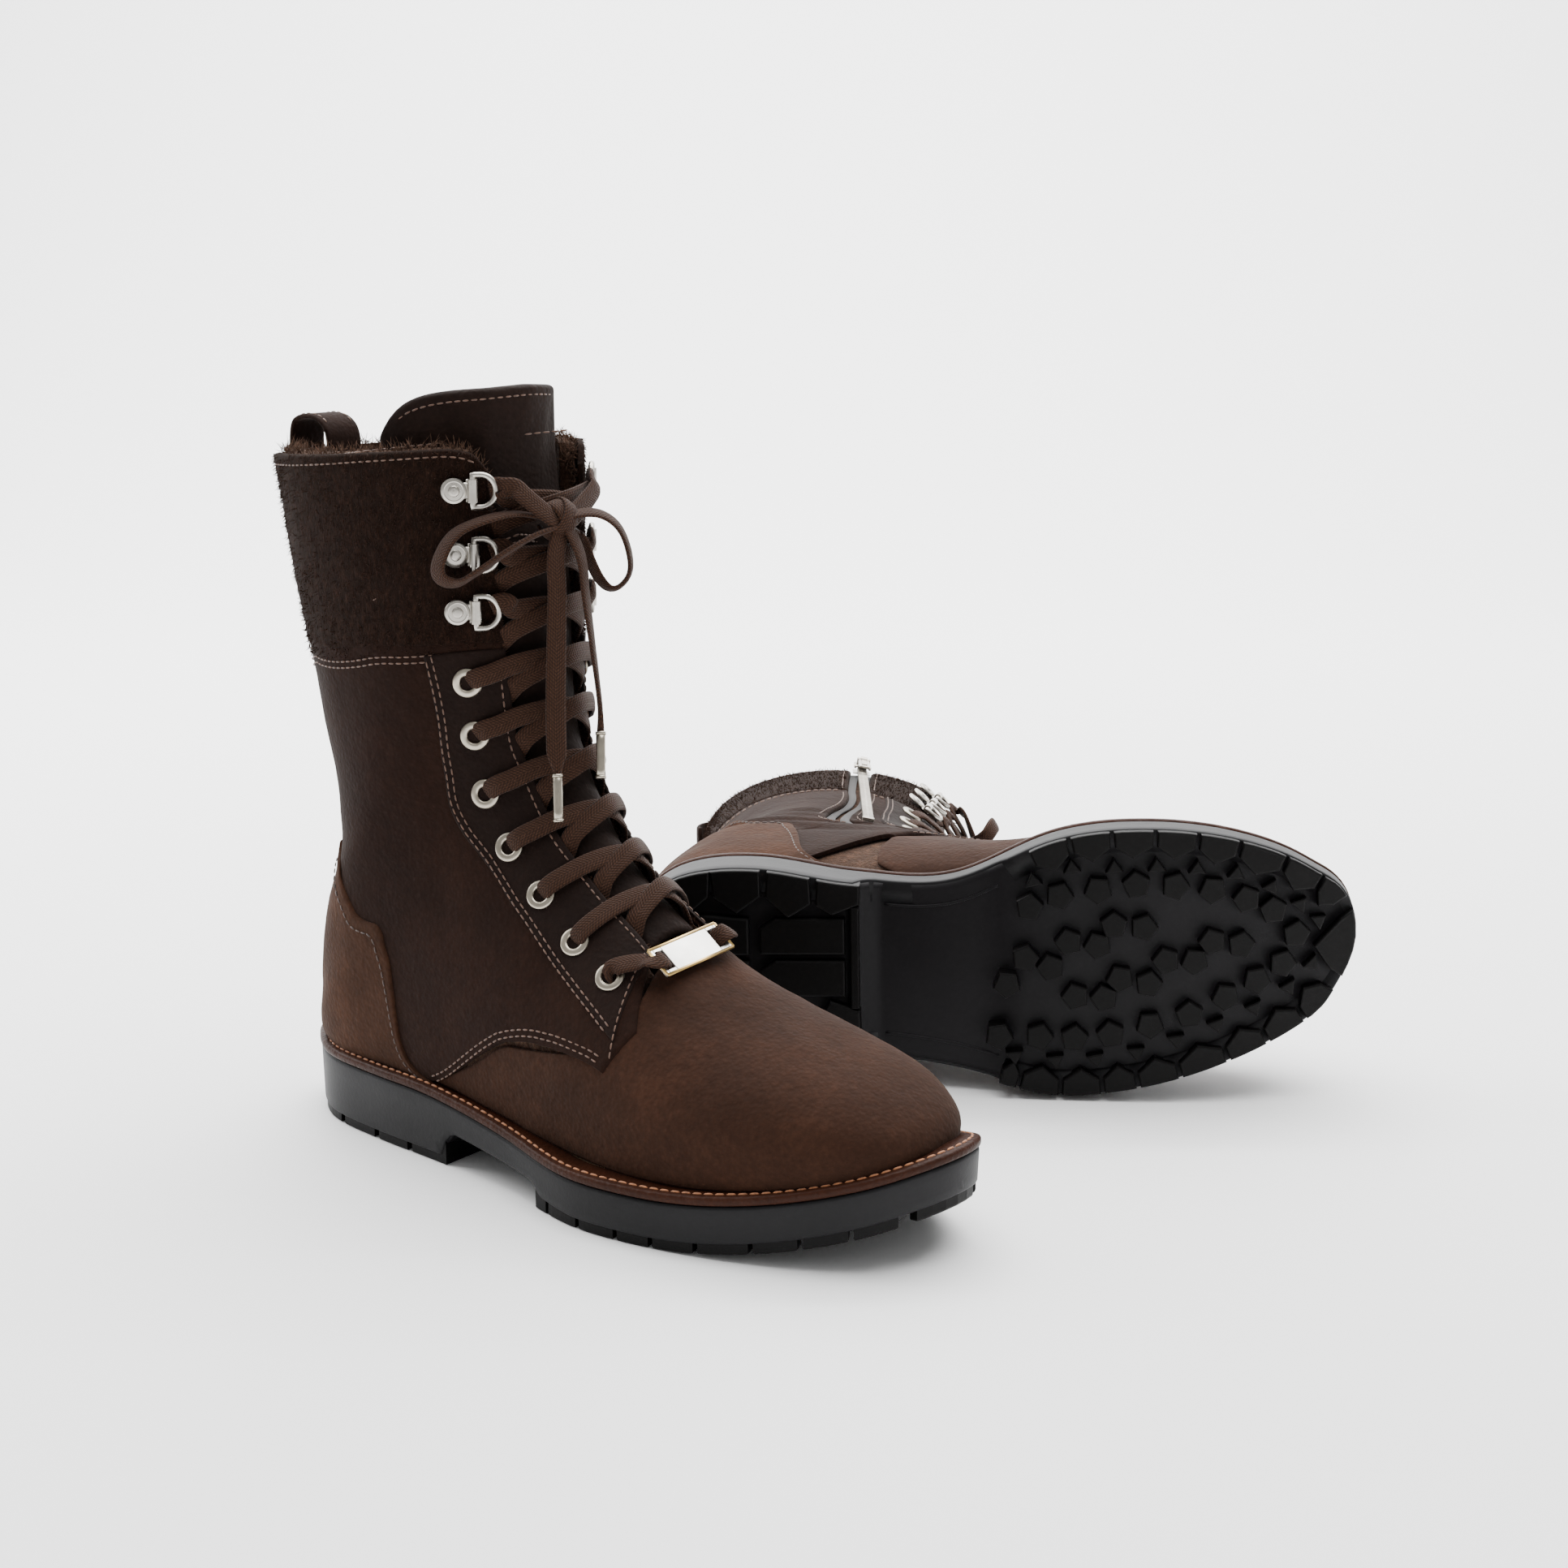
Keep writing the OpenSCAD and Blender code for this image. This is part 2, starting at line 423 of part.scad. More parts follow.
// the bow: two loops and two tails that hang from the knot, in the boot frame
bow_left = [[125, -10, 231], [120, -18, 233], [117, -29, 232], [109, -37, 227], [105, -41, 218],
  [105, -41, 212], [108, -36, 210], [115, -33, 214], [122, -25, 221], [126, -15, 226]];
bow_right = [[130, -1, 232], [134, 7, 232], [137, 14, 227], [139, 17, 218], [139, 17, 210], [136, 12, 205],
  [132, 9, 209], [130, 6, 217], [128, 4, 225]];
tail_left = [[130, -10, 220], [130, -10, 206], [131, -12, 187], [133, -15, 165], [137, -19, 144]];
tail_right = [[134, -2, 218], [135, -1, 204], [136, 1, 186], [137, 3, 166], [139, 1, 156]];
function shift_all(b, pts) = [for (v = pts) flop(b, v)];
module bow(b) {
  for (r = [bow_left, bow_right, tail_left, tail_right]) tube(shift_all(b, r), lace_d / 2);
}
module aglet_pair(b) {
  for (r = [tail_left, tail_right]) {
    s = shift_all(b, r);
    n = len(s);
    d = unit(s[n - 1] - s[n - 2]);
    tube([s[n - 1] + d * .2, s[n - 1] + d * 16], 1.6, 12);
  }
}
module lace_plate(b) {
  at_surface(b, 6.29, -.07, 3) difference() {
    cube([32, 11.5, 1.2], center = true);
    for (s = [-1, 1]) translate([s * 12.3, 0, 0]) cube([3.6, 7.4, 3], center = true);
  }
}

// ---- zip on the inner side: a straight chain with a slider on it ----
function zip_at(b, t) = on(b, t, zip_p, 1.6);
function zip_low(b) = zip_at(b, 11.3);
function zip_high(b) = zip_at(b, 20.3);
function zip_dir(b) = unit(zip_high(b) - zip_low(b));
function zip_len(b) = norm(zip_high(b) - zip_low(b));
zip_bow = 1.2;
module at_zip(b) {
  d = zip_dir(b);
  n0 = normal(b, 16, zip_p);
  n = unit(n0 - d * (n0 * d));
  f = cross(d, n);
  c = zip_low(b) + n * zip_bow;
  multmatrix([[f[0], d[0], n[0], c[0]], [f[1], d[1], n[1], c[1]], [f[2], d[2], n[2], c[2]], [0, 0, 0, 1]]) children();
}
module zip_tape(b) {
  sheet(b, [for (v = steps(14)) [for (s = [-1, 1]) [mix(11.2, 20.5, v), zip_p + s * (zip_half + .02)]]],
    -leather_t - 1, -leather_t - .2);
}
module zip_teeth(b) at_zip(b) translate([-2.2, 0, -.8]) cube([4.4, zip_len(b), 1.6]);
module zip_slider(b) at_zip(b) translate([0, zip_len(b) - 8, 0]) difference() {
  translate([-4.2, 0, -1.9]) cube([8.4, 11, 4.3]);
  translate([-2.7, -1, -1.25]) cube([5.4, 13, 2.5]);
  translate([-6, -1, -.4]) cube([12, 13, .8]);
}
module zip_puller(b) at_zip(b) translate([0, zip_len(b) - 2.5, 4.4]) {
  rotate([0, 90, 0]) difference() {
    cylinder(r = 1.8, h = 3.4, center = true);
    cylinder(r = 1.06, h = 5, center = true);
  }
  translate([-2, -22, -.6]) cube([4, 20.6, 1.2]);
}
module zip_pin() {
  // bridge over the slider with the puller's pin
  for (s = [-1, 1]) translate([s * 2.7 - .5, 3.5, 2.3]) cube([1, 4, 3.1]);
  translate([0, 5.5, 4.4]) rotate([0, 90, 0]) cylinder(r = 1, h = 6.4, center = true);
}
module slider_with_pin(b) {
  zip_slider(b);
  at_zip(b) translate([0, zip_len(b) - 8, 0]) zip_pin();
}
loop_pts = [[-6, 0], [-8.5, 3], [-8.5, 16], [-5, 22], [6, 22], [11.5, 17], [11.5, 0]];
module pull_loop(b) {
  // webbing loop over the back of the rim
  pts = [for (v = loop_pts) flop(b, [v[0] + 1, 0, 240 + v[1]])];
  for (i = [0:len(pts) - 2]) hull() for (v = [pts[i], pts[i + 1]])
    translate(v) cube([1.6, 16, 1.6], center = true);
}

module stand() translate(right_at) rotate([0, 0, right_yaw]) children();
module lie() translate(left_at) rotate(left_tilt) rotate([-90, 0, 0]) mirror([0, 1, 0]) children();

// ---- the right boot ----
module right_outsole() color(rubber) stand() outsole(RIGHT);
module right_shank() color(metal) stand() shank(RIGHT);
module right_welt() color([0.33, 0.18, 0.12]) stand() welt(RIGHT);
module right_insole_board() color([0.45, 0.36, 0.26]) stand() insole_board(RIGHT);
module right_footbed() color(fleece) stand() footbed(RIGHT);
module right_vamp() color(nubuck) stand() vamp(RIGHT);
module right_quarter_lateral() color(nubuck) stand() outer_quarter(RIGHT);
module right_quarter_medial() color(nubuck) stand() inner_quarter(RIGHT);
module right_heel_patch() color(nubuck) stand() counter(RIGHT, 9.6, 14.9, .5, 1.6, 0);
module right_heel_stiffener() color([0.5, 0.42, 0.32]) stand() counter(RIGHT, 10, 14, -leather_t - 1.25, -leather_t - .4, .06);
module right_toe_puff() color([0.5, 0.42, 0.32]) stand() toe_cap(RIGHT);
module right_facing_lateral() color(nubuck) stand() facing(RIGHT, -1);
module right_facing_medial() color(nubuck) stand() facing(RIGHT, 1);
module right_cuff() color(wool) stand() cuff_panels(RIGHT);
module right_lining() color(fleece) stand() fleece_lining(RIGHT);
module right_tongue() color(nubuck) stand() tongue_panel(RIGHT);
module right_pull_loop() color(nubuck) stand() pull_loop(RIGHT);
module right_eyelets() color(metal) stand() eyelet_set(RIGHT);
module right_dring_plates() color(metal) stand() ring_plates(RIGHT);
module right_drings_lateral() color(metal) stand() rings(RIGHT, -1);
module right_drings_medial() color(metal) stand() rings(RIGHT, 1);
module right_lace() color([0.3, 0.22, 0.17]) stand() crossings(RIGHT);
module right_lace_ends() color([0.3, 0.22, 0.17]) stand() bow(RIGHT);
module right_aglets() color(metal) stand() aglet_pair(RIGHT);
module right_lace_plate() color(metal) stand() lace_plate(RIGHT);
module right_zip_tape() color(wool) stand() zip_tape(RIGHT);
module right_zip_teeth() color(metal) stand() zip_teeth(RIGHT);
module right_zip_slider() color(metal) stand() slider_with_pin(RIGHT);
module right_zip_puller() color(metal) stand() zip_puller(RIGHT);

// ---- the left boot ----
module left_outsole() color(rubber) lie() outsole(LEFT);
module left_shank() color(metal) lie() shank(LEFT);
module left_welt() color([0.33, 0.18, 0.12]) lie() welt(LEFT);
module left_insole_board() color([0.45, 0.36, 0.26]) lie() insole_board(LEFT);
module left_footbed() color(fleece) lie() footbed(LEFT);
module left_vamp() color(nubuck) lie() vamp(LEFT);
module left_quarter_lateral() color(nubuck) lie() outer_quarter(LEFT);
module left_quarter_medial() color(nubuck) lie() inner_quarter(LEFT);
module left_heel_patch() color(nubuck) lie() counter(LEFT, 9.6, 14.9, .5, 1.6, 0);
module left_heel_stiffener() color([0.5, 0.42, 0.32]) lie() counter(LEFT, 10, 14, -leather_t - 1.25, -leather_t - .4, .06);
module left_toe_puff() color([0.5, 0.42, 0.32]) lie() toe_cap(LEFT);
module left_facing_lateral() color(nubuck) lie() facing(LEFT, -1);
module left_facing_medial() color(nubuck) lie() facing(LEFT, 1);
module left_cuff() color(wool) lie() cuff_panels(LEFT);
module left_lining() color(fleece) lie() fleece_lining(LEFT);
module left_tongue() color(nubuck) lie() tongue_panel(LEFT);
module left_pull_loop() color(nubuck) lie() pull_loop(LEFT);
module left_eyelets() color(metal) lie() eyelet_set(LEFT);
module left_dring_plates() color(metal) lie() ring_plates(LEFT);
module left_drings_lateral() color(metal) lie() rings(LEFT, -1);
module left_drings_medial() color(metal) lie() rings(LEFT, 1);
module left_lace() color([0.3, 0.22, 0.17]) lie() crossings(LEFT);
module left_lace_ends() color([0.3, 0.22, 0.17]) lie() bow(LEFT);
module left_aglets() color(metal) lie() aglet_pair(LEFT);
module left_lace_plate() color(metal) lie() lace_plate(LEFT);
module left_zip_tape() color(wool) lie() zip_tape(LEFT);
module left_zip_teeth() color(metal) lie() zip_teeth(LEFT);
module left_zip_slider() color(metal) lie() slider_with_pin(LEFT);
module left_zip_puller() color(metal) lie() zip_puller(LEFT);

right_outsole();
right_shank();
right_welt();
right_insole_board();
right_footbed();
right_vamp();
right_quarter_lateral();
right_quarter_medial();
right_heel_patch();
right_heel_stiffener();
right_toe_puff();
right_facing_lateral();
right_facing_medial();
right_cuff();
right_lining();
right_tongue();
right_pull_loop();
right_eyelets();
right_dring_plates();
right_drings_lateral();
right_drings_medial();
right_lace();
right_lace_ends();
right_aglets();
right_lace_plate();
right_zip_tape();
right_zip_teeth();
right_zip_slider();
right_zip_puller();
left_outsole();
left_shank();
left_welt();
left_insole_board();
left_footbed();
left_vamp();
left_quarter_lateral();
left_quarter_medial();
left_heel_patch();
left_heel_stiffener();
left_toe_puff();
left_facing_lateral();
left_facing_medial();
left_cuff();
left_lining();
left_tongue();
left_pull_loop();
left_eyelets();
left_dring_plates();
left_drings_lateral();
left_drings_medial();
left_lace();
left_lace_ends();
left_aglets();
left_lace_plate();
left_zip_tape();
left_zip_teeth();
left_zip_slider();
left_zip_puller();
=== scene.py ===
"""Looks of a pair of fur-lined lace-up hunting boots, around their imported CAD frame.

Lengths are in millimetres in each boot's own frame (x forward from the back of the heel, y to the
inner side, z up from the ground) and become metres in the row frame when a mesh is made.
"""

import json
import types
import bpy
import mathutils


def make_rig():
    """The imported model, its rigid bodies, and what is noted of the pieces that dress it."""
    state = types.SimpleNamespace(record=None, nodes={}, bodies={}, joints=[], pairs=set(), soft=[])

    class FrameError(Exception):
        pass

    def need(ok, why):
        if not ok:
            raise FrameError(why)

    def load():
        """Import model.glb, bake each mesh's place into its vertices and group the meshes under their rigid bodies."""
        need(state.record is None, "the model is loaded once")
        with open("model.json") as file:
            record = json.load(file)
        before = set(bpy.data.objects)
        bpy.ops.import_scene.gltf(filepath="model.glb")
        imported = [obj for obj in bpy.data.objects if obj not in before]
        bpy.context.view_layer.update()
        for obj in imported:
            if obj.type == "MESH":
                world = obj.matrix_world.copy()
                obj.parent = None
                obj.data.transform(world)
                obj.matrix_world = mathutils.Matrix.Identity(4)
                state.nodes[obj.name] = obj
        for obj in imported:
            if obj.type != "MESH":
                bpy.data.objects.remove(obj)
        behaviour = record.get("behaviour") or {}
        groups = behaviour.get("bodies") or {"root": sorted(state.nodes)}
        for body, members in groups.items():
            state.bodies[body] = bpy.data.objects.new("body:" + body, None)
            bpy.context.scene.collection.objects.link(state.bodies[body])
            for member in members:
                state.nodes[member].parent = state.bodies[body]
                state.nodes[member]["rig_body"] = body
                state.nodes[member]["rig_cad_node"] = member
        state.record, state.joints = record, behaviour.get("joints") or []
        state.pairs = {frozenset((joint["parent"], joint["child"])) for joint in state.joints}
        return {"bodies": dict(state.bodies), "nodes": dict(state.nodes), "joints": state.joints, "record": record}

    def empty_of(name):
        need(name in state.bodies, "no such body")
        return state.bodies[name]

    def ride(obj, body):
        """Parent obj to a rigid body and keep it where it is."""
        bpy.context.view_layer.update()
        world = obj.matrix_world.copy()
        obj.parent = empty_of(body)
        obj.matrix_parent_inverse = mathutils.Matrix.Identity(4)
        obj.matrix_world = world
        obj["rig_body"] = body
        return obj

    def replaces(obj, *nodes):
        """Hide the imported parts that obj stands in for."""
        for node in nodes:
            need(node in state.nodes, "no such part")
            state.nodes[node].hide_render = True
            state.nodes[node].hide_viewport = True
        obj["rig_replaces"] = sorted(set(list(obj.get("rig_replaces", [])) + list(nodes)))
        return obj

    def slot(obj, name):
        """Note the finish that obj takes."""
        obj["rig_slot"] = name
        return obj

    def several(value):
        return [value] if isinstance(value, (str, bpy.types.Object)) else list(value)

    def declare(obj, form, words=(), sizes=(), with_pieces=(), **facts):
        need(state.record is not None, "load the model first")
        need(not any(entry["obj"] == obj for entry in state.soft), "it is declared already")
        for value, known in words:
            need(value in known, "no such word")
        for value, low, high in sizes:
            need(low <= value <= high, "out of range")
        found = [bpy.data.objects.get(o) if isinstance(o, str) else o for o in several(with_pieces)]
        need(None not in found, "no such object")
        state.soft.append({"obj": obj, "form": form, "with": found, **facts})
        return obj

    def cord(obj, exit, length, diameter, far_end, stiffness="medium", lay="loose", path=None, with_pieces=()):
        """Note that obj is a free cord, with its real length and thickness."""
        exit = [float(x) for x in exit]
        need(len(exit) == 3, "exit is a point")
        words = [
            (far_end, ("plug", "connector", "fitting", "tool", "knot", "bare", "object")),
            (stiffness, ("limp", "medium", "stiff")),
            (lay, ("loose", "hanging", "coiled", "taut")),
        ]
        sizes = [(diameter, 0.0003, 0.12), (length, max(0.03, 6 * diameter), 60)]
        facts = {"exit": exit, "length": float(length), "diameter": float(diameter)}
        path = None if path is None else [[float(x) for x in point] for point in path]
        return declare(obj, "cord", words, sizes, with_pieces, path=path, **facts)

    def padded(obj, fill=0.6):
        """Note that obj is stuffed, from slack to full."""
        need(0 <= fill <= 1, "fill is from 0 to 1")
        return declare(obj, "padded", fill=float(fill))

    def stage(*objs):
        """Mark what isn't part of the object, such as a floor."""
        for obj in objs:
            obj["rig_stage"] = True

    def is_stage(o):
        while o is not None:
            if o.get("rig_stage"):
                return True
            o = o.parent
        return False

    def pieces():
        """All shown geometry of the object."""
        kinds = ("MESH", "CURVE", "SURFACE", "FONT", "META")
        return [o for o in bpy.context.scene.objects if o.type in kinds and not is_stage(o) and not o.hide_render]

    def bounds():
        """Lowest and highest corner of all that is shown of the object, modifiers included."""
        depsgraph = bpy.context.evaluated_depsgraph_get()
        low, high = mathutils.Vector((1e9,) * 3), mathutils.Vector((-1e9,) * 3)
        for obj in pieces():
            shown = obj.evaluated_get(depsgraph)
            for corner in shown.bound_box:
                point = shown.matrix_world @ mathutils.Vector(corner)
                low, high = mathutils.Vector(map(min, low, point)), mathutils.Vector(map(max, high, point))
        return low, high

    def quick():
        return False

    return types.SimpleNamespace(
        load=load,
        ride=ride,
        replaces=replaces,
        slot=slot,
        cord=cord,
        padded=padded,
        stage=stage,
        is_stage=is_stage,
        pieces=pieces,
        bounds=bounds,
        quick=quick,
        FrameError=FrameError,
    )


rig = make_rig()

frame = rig.load()
cad_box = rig.bounds()

import json
import math
import random

import bpy
import numpy as np
from mathutils import Vector

# ---------------------------------------------------------------- driving sizes, as in the CAD
SOLE_L, HEEL_H, FORE_H, SPRING, WELT_T = 290.0, 28.5, 20.5, 18.0, 3.4
TIP_Y = 6.0
LACE_W, LACE_T = 7.0, 1.9
RIGHT_AT, RIGHT_YAW = (-192.6, -32.4, 0.0), -38.4
LEFT_AT, LEFT_TILT = (-88.6, -42.4, 52.5), (-2.3, -1.2, -4.4)
LEAN, LEAN_FROM = 0.09, 70
SQUASH, SQUASH_FROM, SQUASH_OVER, SAG = 0.26, 90, 160, 4
SPRING_FROM = 200
FEATHER_FROM, FEATHER_OVER = 75, 100
SIDES = ("right", "left")
SECTIONS = [
    [284.5, 0, 284.5, 34.5, 5, 0, 0, 0.1, 0.1, .3, 2.2, 2.2],
    [282.3, 0, 282.8, 43, 5, 12, 9.5, 12.5, 10, .3, 2.2, 2.2],
    [275, 0, 276, 50, 4.8, 25, 20, 26, 21, .3, 2.3, 2.2],
    [260, 0, 261, 57.5, 4.5, 35, 31, 36.5, 32, .3, 2.4, 2.2],
    [238, 0, 239, 64.5, 4, 42.5, 37.5, 44.5, 38.5, .3, 2.4, 2.1],
    [212, 0, 213, 72, 3, 47.5, 40.5, 49, 41.5, .28, 2.2, 2],
    [184, 0, 189, 82.5, 2, 48.5, 39.5, 49.5, 41, .26, 2, 1.9],
    [156, 0, 172, 96, 1, 44, 32, 46, 37, .28, 1.9, 1.8],
    [128, 0, 158, 106.5, .5, 40, 26, 42.5, 35, .32, 1.9, 1.8],
    [98, 0, 147, 117, 0, 36.5, 26, 40, 35, .36, 1.9, 1.9],
    [66, 0, 138.5, 128, 0, 33, 30, 38.5, 35.5, .4, 2, 1.9],
    [36, 0, 132, 139, 0, 29.5, 29, 37.5, 36, .42, 2, 2],
    [15, 0, 128, 149, 0, 17, 17, 37.5, 36.5, .44, 2, 2],
    [7.5, 38, 123.5, 160, 0, 0, 0, 37.5, 37, .46, 2.1, 2],
    [12, 64, 121, 173, 0, 0, 0, 38, 37.5, .47, 2.1, 2],
    [22, 92, 119.5, 186, 0, 0, 0, 39, 38.5, .48, 2.1, 2],
    [22.5, 120, 119, 200, 0, 0, 0, 40.5, 40, .49, 2.1, 2],
    [16.5, 148, 119, 214, 0, 0, 0, 42, 41.5, .5, 2.1, 2],
    [10.5, 176, 119, 227.5, 0, 0, 0, 43.5, 43, .5, 2.1, 2],
    [5, 203, 119, 240.5, 0, 0, 0, 45, 44.5, .5, 2.1, 2],
    [0.5, 227, 119, 252, 0, 0, 0, 46, 45.5, .5, 2.1, 2],
    [-3.5, 247, 119, 262, 0, 0, 0, 46.5, 46, .5, 2.1, 2],
    [-7.5, 267, 119, 273, 0, 0, 0, 47, 46.5, .5, 2.1, 2],
    [-11, 287, 119, 285, 0, 0, 0, 47.5, 47, .5, 2.1, 2]]


def smooth(x):
    t = np.clip(x, 0, 1)
    return t * t * (3 - 2 * t)


def spring(x):
    return SPRING * np.clip((np.asarray(x, float) - SPRING_FROM) / (SOLE_L - SPRING_FROM), 0, 1) ** 2


def feather(x):
    return HEEL_H + (FORE_H - HEEL_H) * smooth((np.asarray(x, float) - FEATHER_FROM)
                                               / FEATHER_OVER) + spring(x)
TABLE = np.array([[feather(r[0]) if k == 1 and r[1] == 0 else r[k] for k in range(12)] for r in SECTIONS],
                 float)
LAST = len(TABLE) - 1


def section(t):
    """The last's section at t, between the rows of SECTIONS."""
    t = np.clip(np.asarray(t, float), -.5, LAST + .5)
    i = np.clip(np.floor(t).astype(int), 0, LAST - 1)
    f = (t - i)[..., None]
    p1, p2 = TABLE[i], TABLE[i + 1]
    p0 = np.where((i > 0)[..., None], TABLE[np.maximum(i - 1, 0)], 2 * p1 - p2)
    p3 = np.where((i < LAST - 1)[..., None], TABLE[np.minimum(i + 2, LAST)], 2 * p2 - p1)
    return .5 * (2 * p1 + (p2 - p0) * f + (2 * p0 - 5 * p1 + 4 * p2 - p3) * f ** 2
                 + (3 * p1 - p0 - 3 * p2 + p3) * f ** 3)


def last_point(t, p):
    """A point on the last: t along the sections, p from -1 (outer side) over the front to 1 (inner side)."""
    t, p = np.broadcast_arrays(np.asarray(t, float), np.asarray(p, float))
    a = section(t)
    out, q = p < 0, 1 - np.minimum(np.abs(p), 1)
    y0 = np.maximum(np.where(out, a[..., 5], a[..., 6]), 0)
    w, sc = np.where(out, a[..., 7], a[..., 8]), a[..., 9]
    low = q < sc
    u = np.radians(np.where(low, (sc - q) / sc, (q - sc) / (1 - sc)) * 90)
    su, cu = np.maximum(np.sin(u), 0), np.maximum(np.cos(u), 0)
    s = np.where(low, sc * (1 - su), sc + (1 - sc) * su ** (2 / a[..., 11]))
    y = np.where(low, y0 + (w - y0) * cu ** (2 / a[..., 10]), w * cu ** (2 / a[..., 10]))
    return np.stack([a[..., 0] + (a[..., 2] - a[..., 0]) * s, a[..., 4] + np.sign(p) * y,
                     a[..., 1] + (a[..., 3] - a[..., 1]) * s], -1)


def flop(b, v):
    """The lying boot's soft shaft leans and is squashed; the standing boot stays as it is."""
    v = np.asarray(v, float)
    if b == 0:
        return v
    w = np.clip((v[..., 2] - SQUASH_FROM) / SQUASH_OVER, 0, 1.2)
    return np.stack([v[..., 0] + LEAN * np.maximum(v[..., 2] - LEAN_FROM, 0),
                     v[..., 1] * (1 - SQUASH * w) - SAG * w, v[..., 2]], -1)


def base(b, t, p):
    return flop(b, last_point(t, p))


def unit(v):
    return v / np.maximum(np.linalg.norm(v, axis=-1, keepdims=True), 1e-9)


def normal(b, t, p):
    e = .02
    pc, tc = np.clip(p, -.97, .97), np.clip(t, .15, LAST - .05)
    du = base(b, tc + e, pc) - base(b, tc - e, pc)
    dv = base(b, tc, pc + e) - base(b, tc, pc - e)
    return unit(np.cross(dv, du))


def on(b, t, p, o):
    """A point o mm off the last."""
    return base(b, t, p) + normal(b, t, p) * np.asarray(o, float)[..., None]


def rx(d):
    c, s = np.cos(np.radians(d)), np.sin(np.radians(d))
    return np.array([[1, 0, 0], [0, c, -s], [0, s, c]])


def ry(d):
    c, s = np.cos(np.radians(d)), np.sin(np.radians(d))
    return np.array([[c, 0, s], [0, 1, 0], [-s, 0, c]])


def rz(d):
    c, s = np.cos(np.radians(d)), np.sin(np.radians(d))
    return np.array([[c, -s, 0], [s, c, 0], [0, 0, 1]])
M = [rz(RIGHT_YAW), rz(LEFT_TILT[2]) @ ry(LEFT_TILT[1]) @ rx(LEFT_TILT[0]) @ rx(-90) @ np.diag([1, -1, 1])]
T = [np.array(RIGHT_AT), np.array(LEFT_AT)]


def world(b, v):
    return np.asarray(v) @ M[b].T + T[b]
EYE = [[6.95, .335], [7.95, .325], [9.2, .3], [10.6, .28], [12.4, .262], [13.9, .255], [15.2, .262]]
RING = [[16.55, .2], [17.8, .19], [19.3, .18]]
HINGE_IN, HINGE_OFF = .02, 3.4
ZIP_P, ZIP_FROM, ZIP_MIDDLE, ZIP_TO = .43, 11.3, 16, 20.3
ZIP_OFF, CHAIN_OFF = 1.6, 1.2


def hinge_end(b, s, k):
    return on(b, RING[k][0], s * (RING[k][1] + HINGE_IN), HINGE_OFF)


def hinge_dir(b, s):
    return unit(hinge_end(b, s, 2) - hinge_end(b, s, 0))


def hinge_normal(b, s):
    d = hinge_dir(b, s)
    n = normal(b, RING[1][0], s * RING[1][1])
    return unit(n - d * (n @ d))


def hinge_point(b, s, k):
    a, d = hinge_end(b, s, 0), hinge_dir(b, s)
    return a + d * ((hinge_end(b, s, k) - a) @ d)


def zip_at(b, t):
    return on(b, t, ZIP_P, ZIP_OFF)


def zip_frame(b):
    """The chain's lower end, its direction, the normal, the cross direction and its length."""
    lo, hi = zip_at(b, ZIP_FROM), zip_at(b, ZIP_TO)
    d = unit(hi - lo)
    n = normal(b, ZIP_MIDDLE, ZIP_P)
    n = unit(n - d * (n @ d))
    return lo + n * CHAIN_OFF, d, n, np.cross(d, n), np.linalg.norm(hi - lo)
# ---------------------------------------------------------------- meshes
def make(name, verts, faces, mat, body, b=None, slot=None, nodes=(), smooth=True, uv=None):
    """A mesh object. With b, verts are in that boot's frame in mm; without, in metres in the row frame."""
    verts = np.asarray(verts, float)
    if b is not None:
        verts = world(b, verts) / 1000
        if b == 1:
            faces = [tuple(reversed(f)) for f in faces]
    me = bpy.data.meshes.new(name)
    me.from_pydata(verts.tolist(), [], [tuple(int(i) for i in f) for f in faces])
    me.update()
    me.polygons.foreach_set("use_smooth", [smooth] * len(me.polygons))
    if uv is not None:
        layer = me.uv_layers.new(name="UVMap")
        idx = np.empty(len(me.loops), int)
        me.loops.foreach_get("vertex_index", idx)
        layer.data.foreach_set("uv", np.asarray(uv, float)[idx].ravel())
    ob = bpy.data.objects.new(name, me)
    bpy.context.collection.objects.link(ob)
    ob.data.materials.append(mat)
    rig.ride(ob, body)
    if slot:
        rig.slot(ob, slot)
    if nodes:
        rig.replaces(ob, *nodes)
    return ob


class Heap:
    """Collects many small solids into one mesh."""

    def __init__(self):
        self.v, self.f, self.n, self.uv = [], [], 0, []

    def add(self, verts, faces, uv=None):
        verts = np.asarray(verts, float)
        self.v.append(verts)
        self.f += [tuple(i + self.n for i in f) for f in faces]
        self.uv.append(np.zeros((len(verts), 2)) if uv is None else np.asarray(uv, float))
        self.n += len(verts)

    def make(self, name, mat, body, b=None, **kw):
        if kw.pop("with_uv", False):
            kw["uv"] = np.concatenate(self.uv)
        return make(name, np.concatenate(self.v), self.f, mat, body, b, **kw)


def lerp(a, b, f):
    return a + (b - a) * f


def lookup(x, table):
    xs, ys = zip(*table)
    return np.interp(x, xs, ys)


def grid_faces(n, m, start=0, turned=False):
    f = [(start + i * m + j, start + i * m + j + 1, start + (i + 1) * m + j + 1, start + (i + 1) * m + j)
         for i in range(n - 1) for j in range(m - 1)]
    return [tuple(reversed(q)) for q in f] if turned else f


def rim_faces(n, m, k):
    ring = [j for j in range(m - 1)] + [i * m + m - 1 for i in range(n - 1)]
    ring += [(n - 1) * m + j for j in range(m - 1, 0, -1)] + [i * m for i in range(n - 1, 0, -1)]
    return [(ring[(i + 1) % len(ring)], ring[i], ring[i] + k, ring[(i + 1) % len(ring)] + k)
            for i in range(len(ring))]


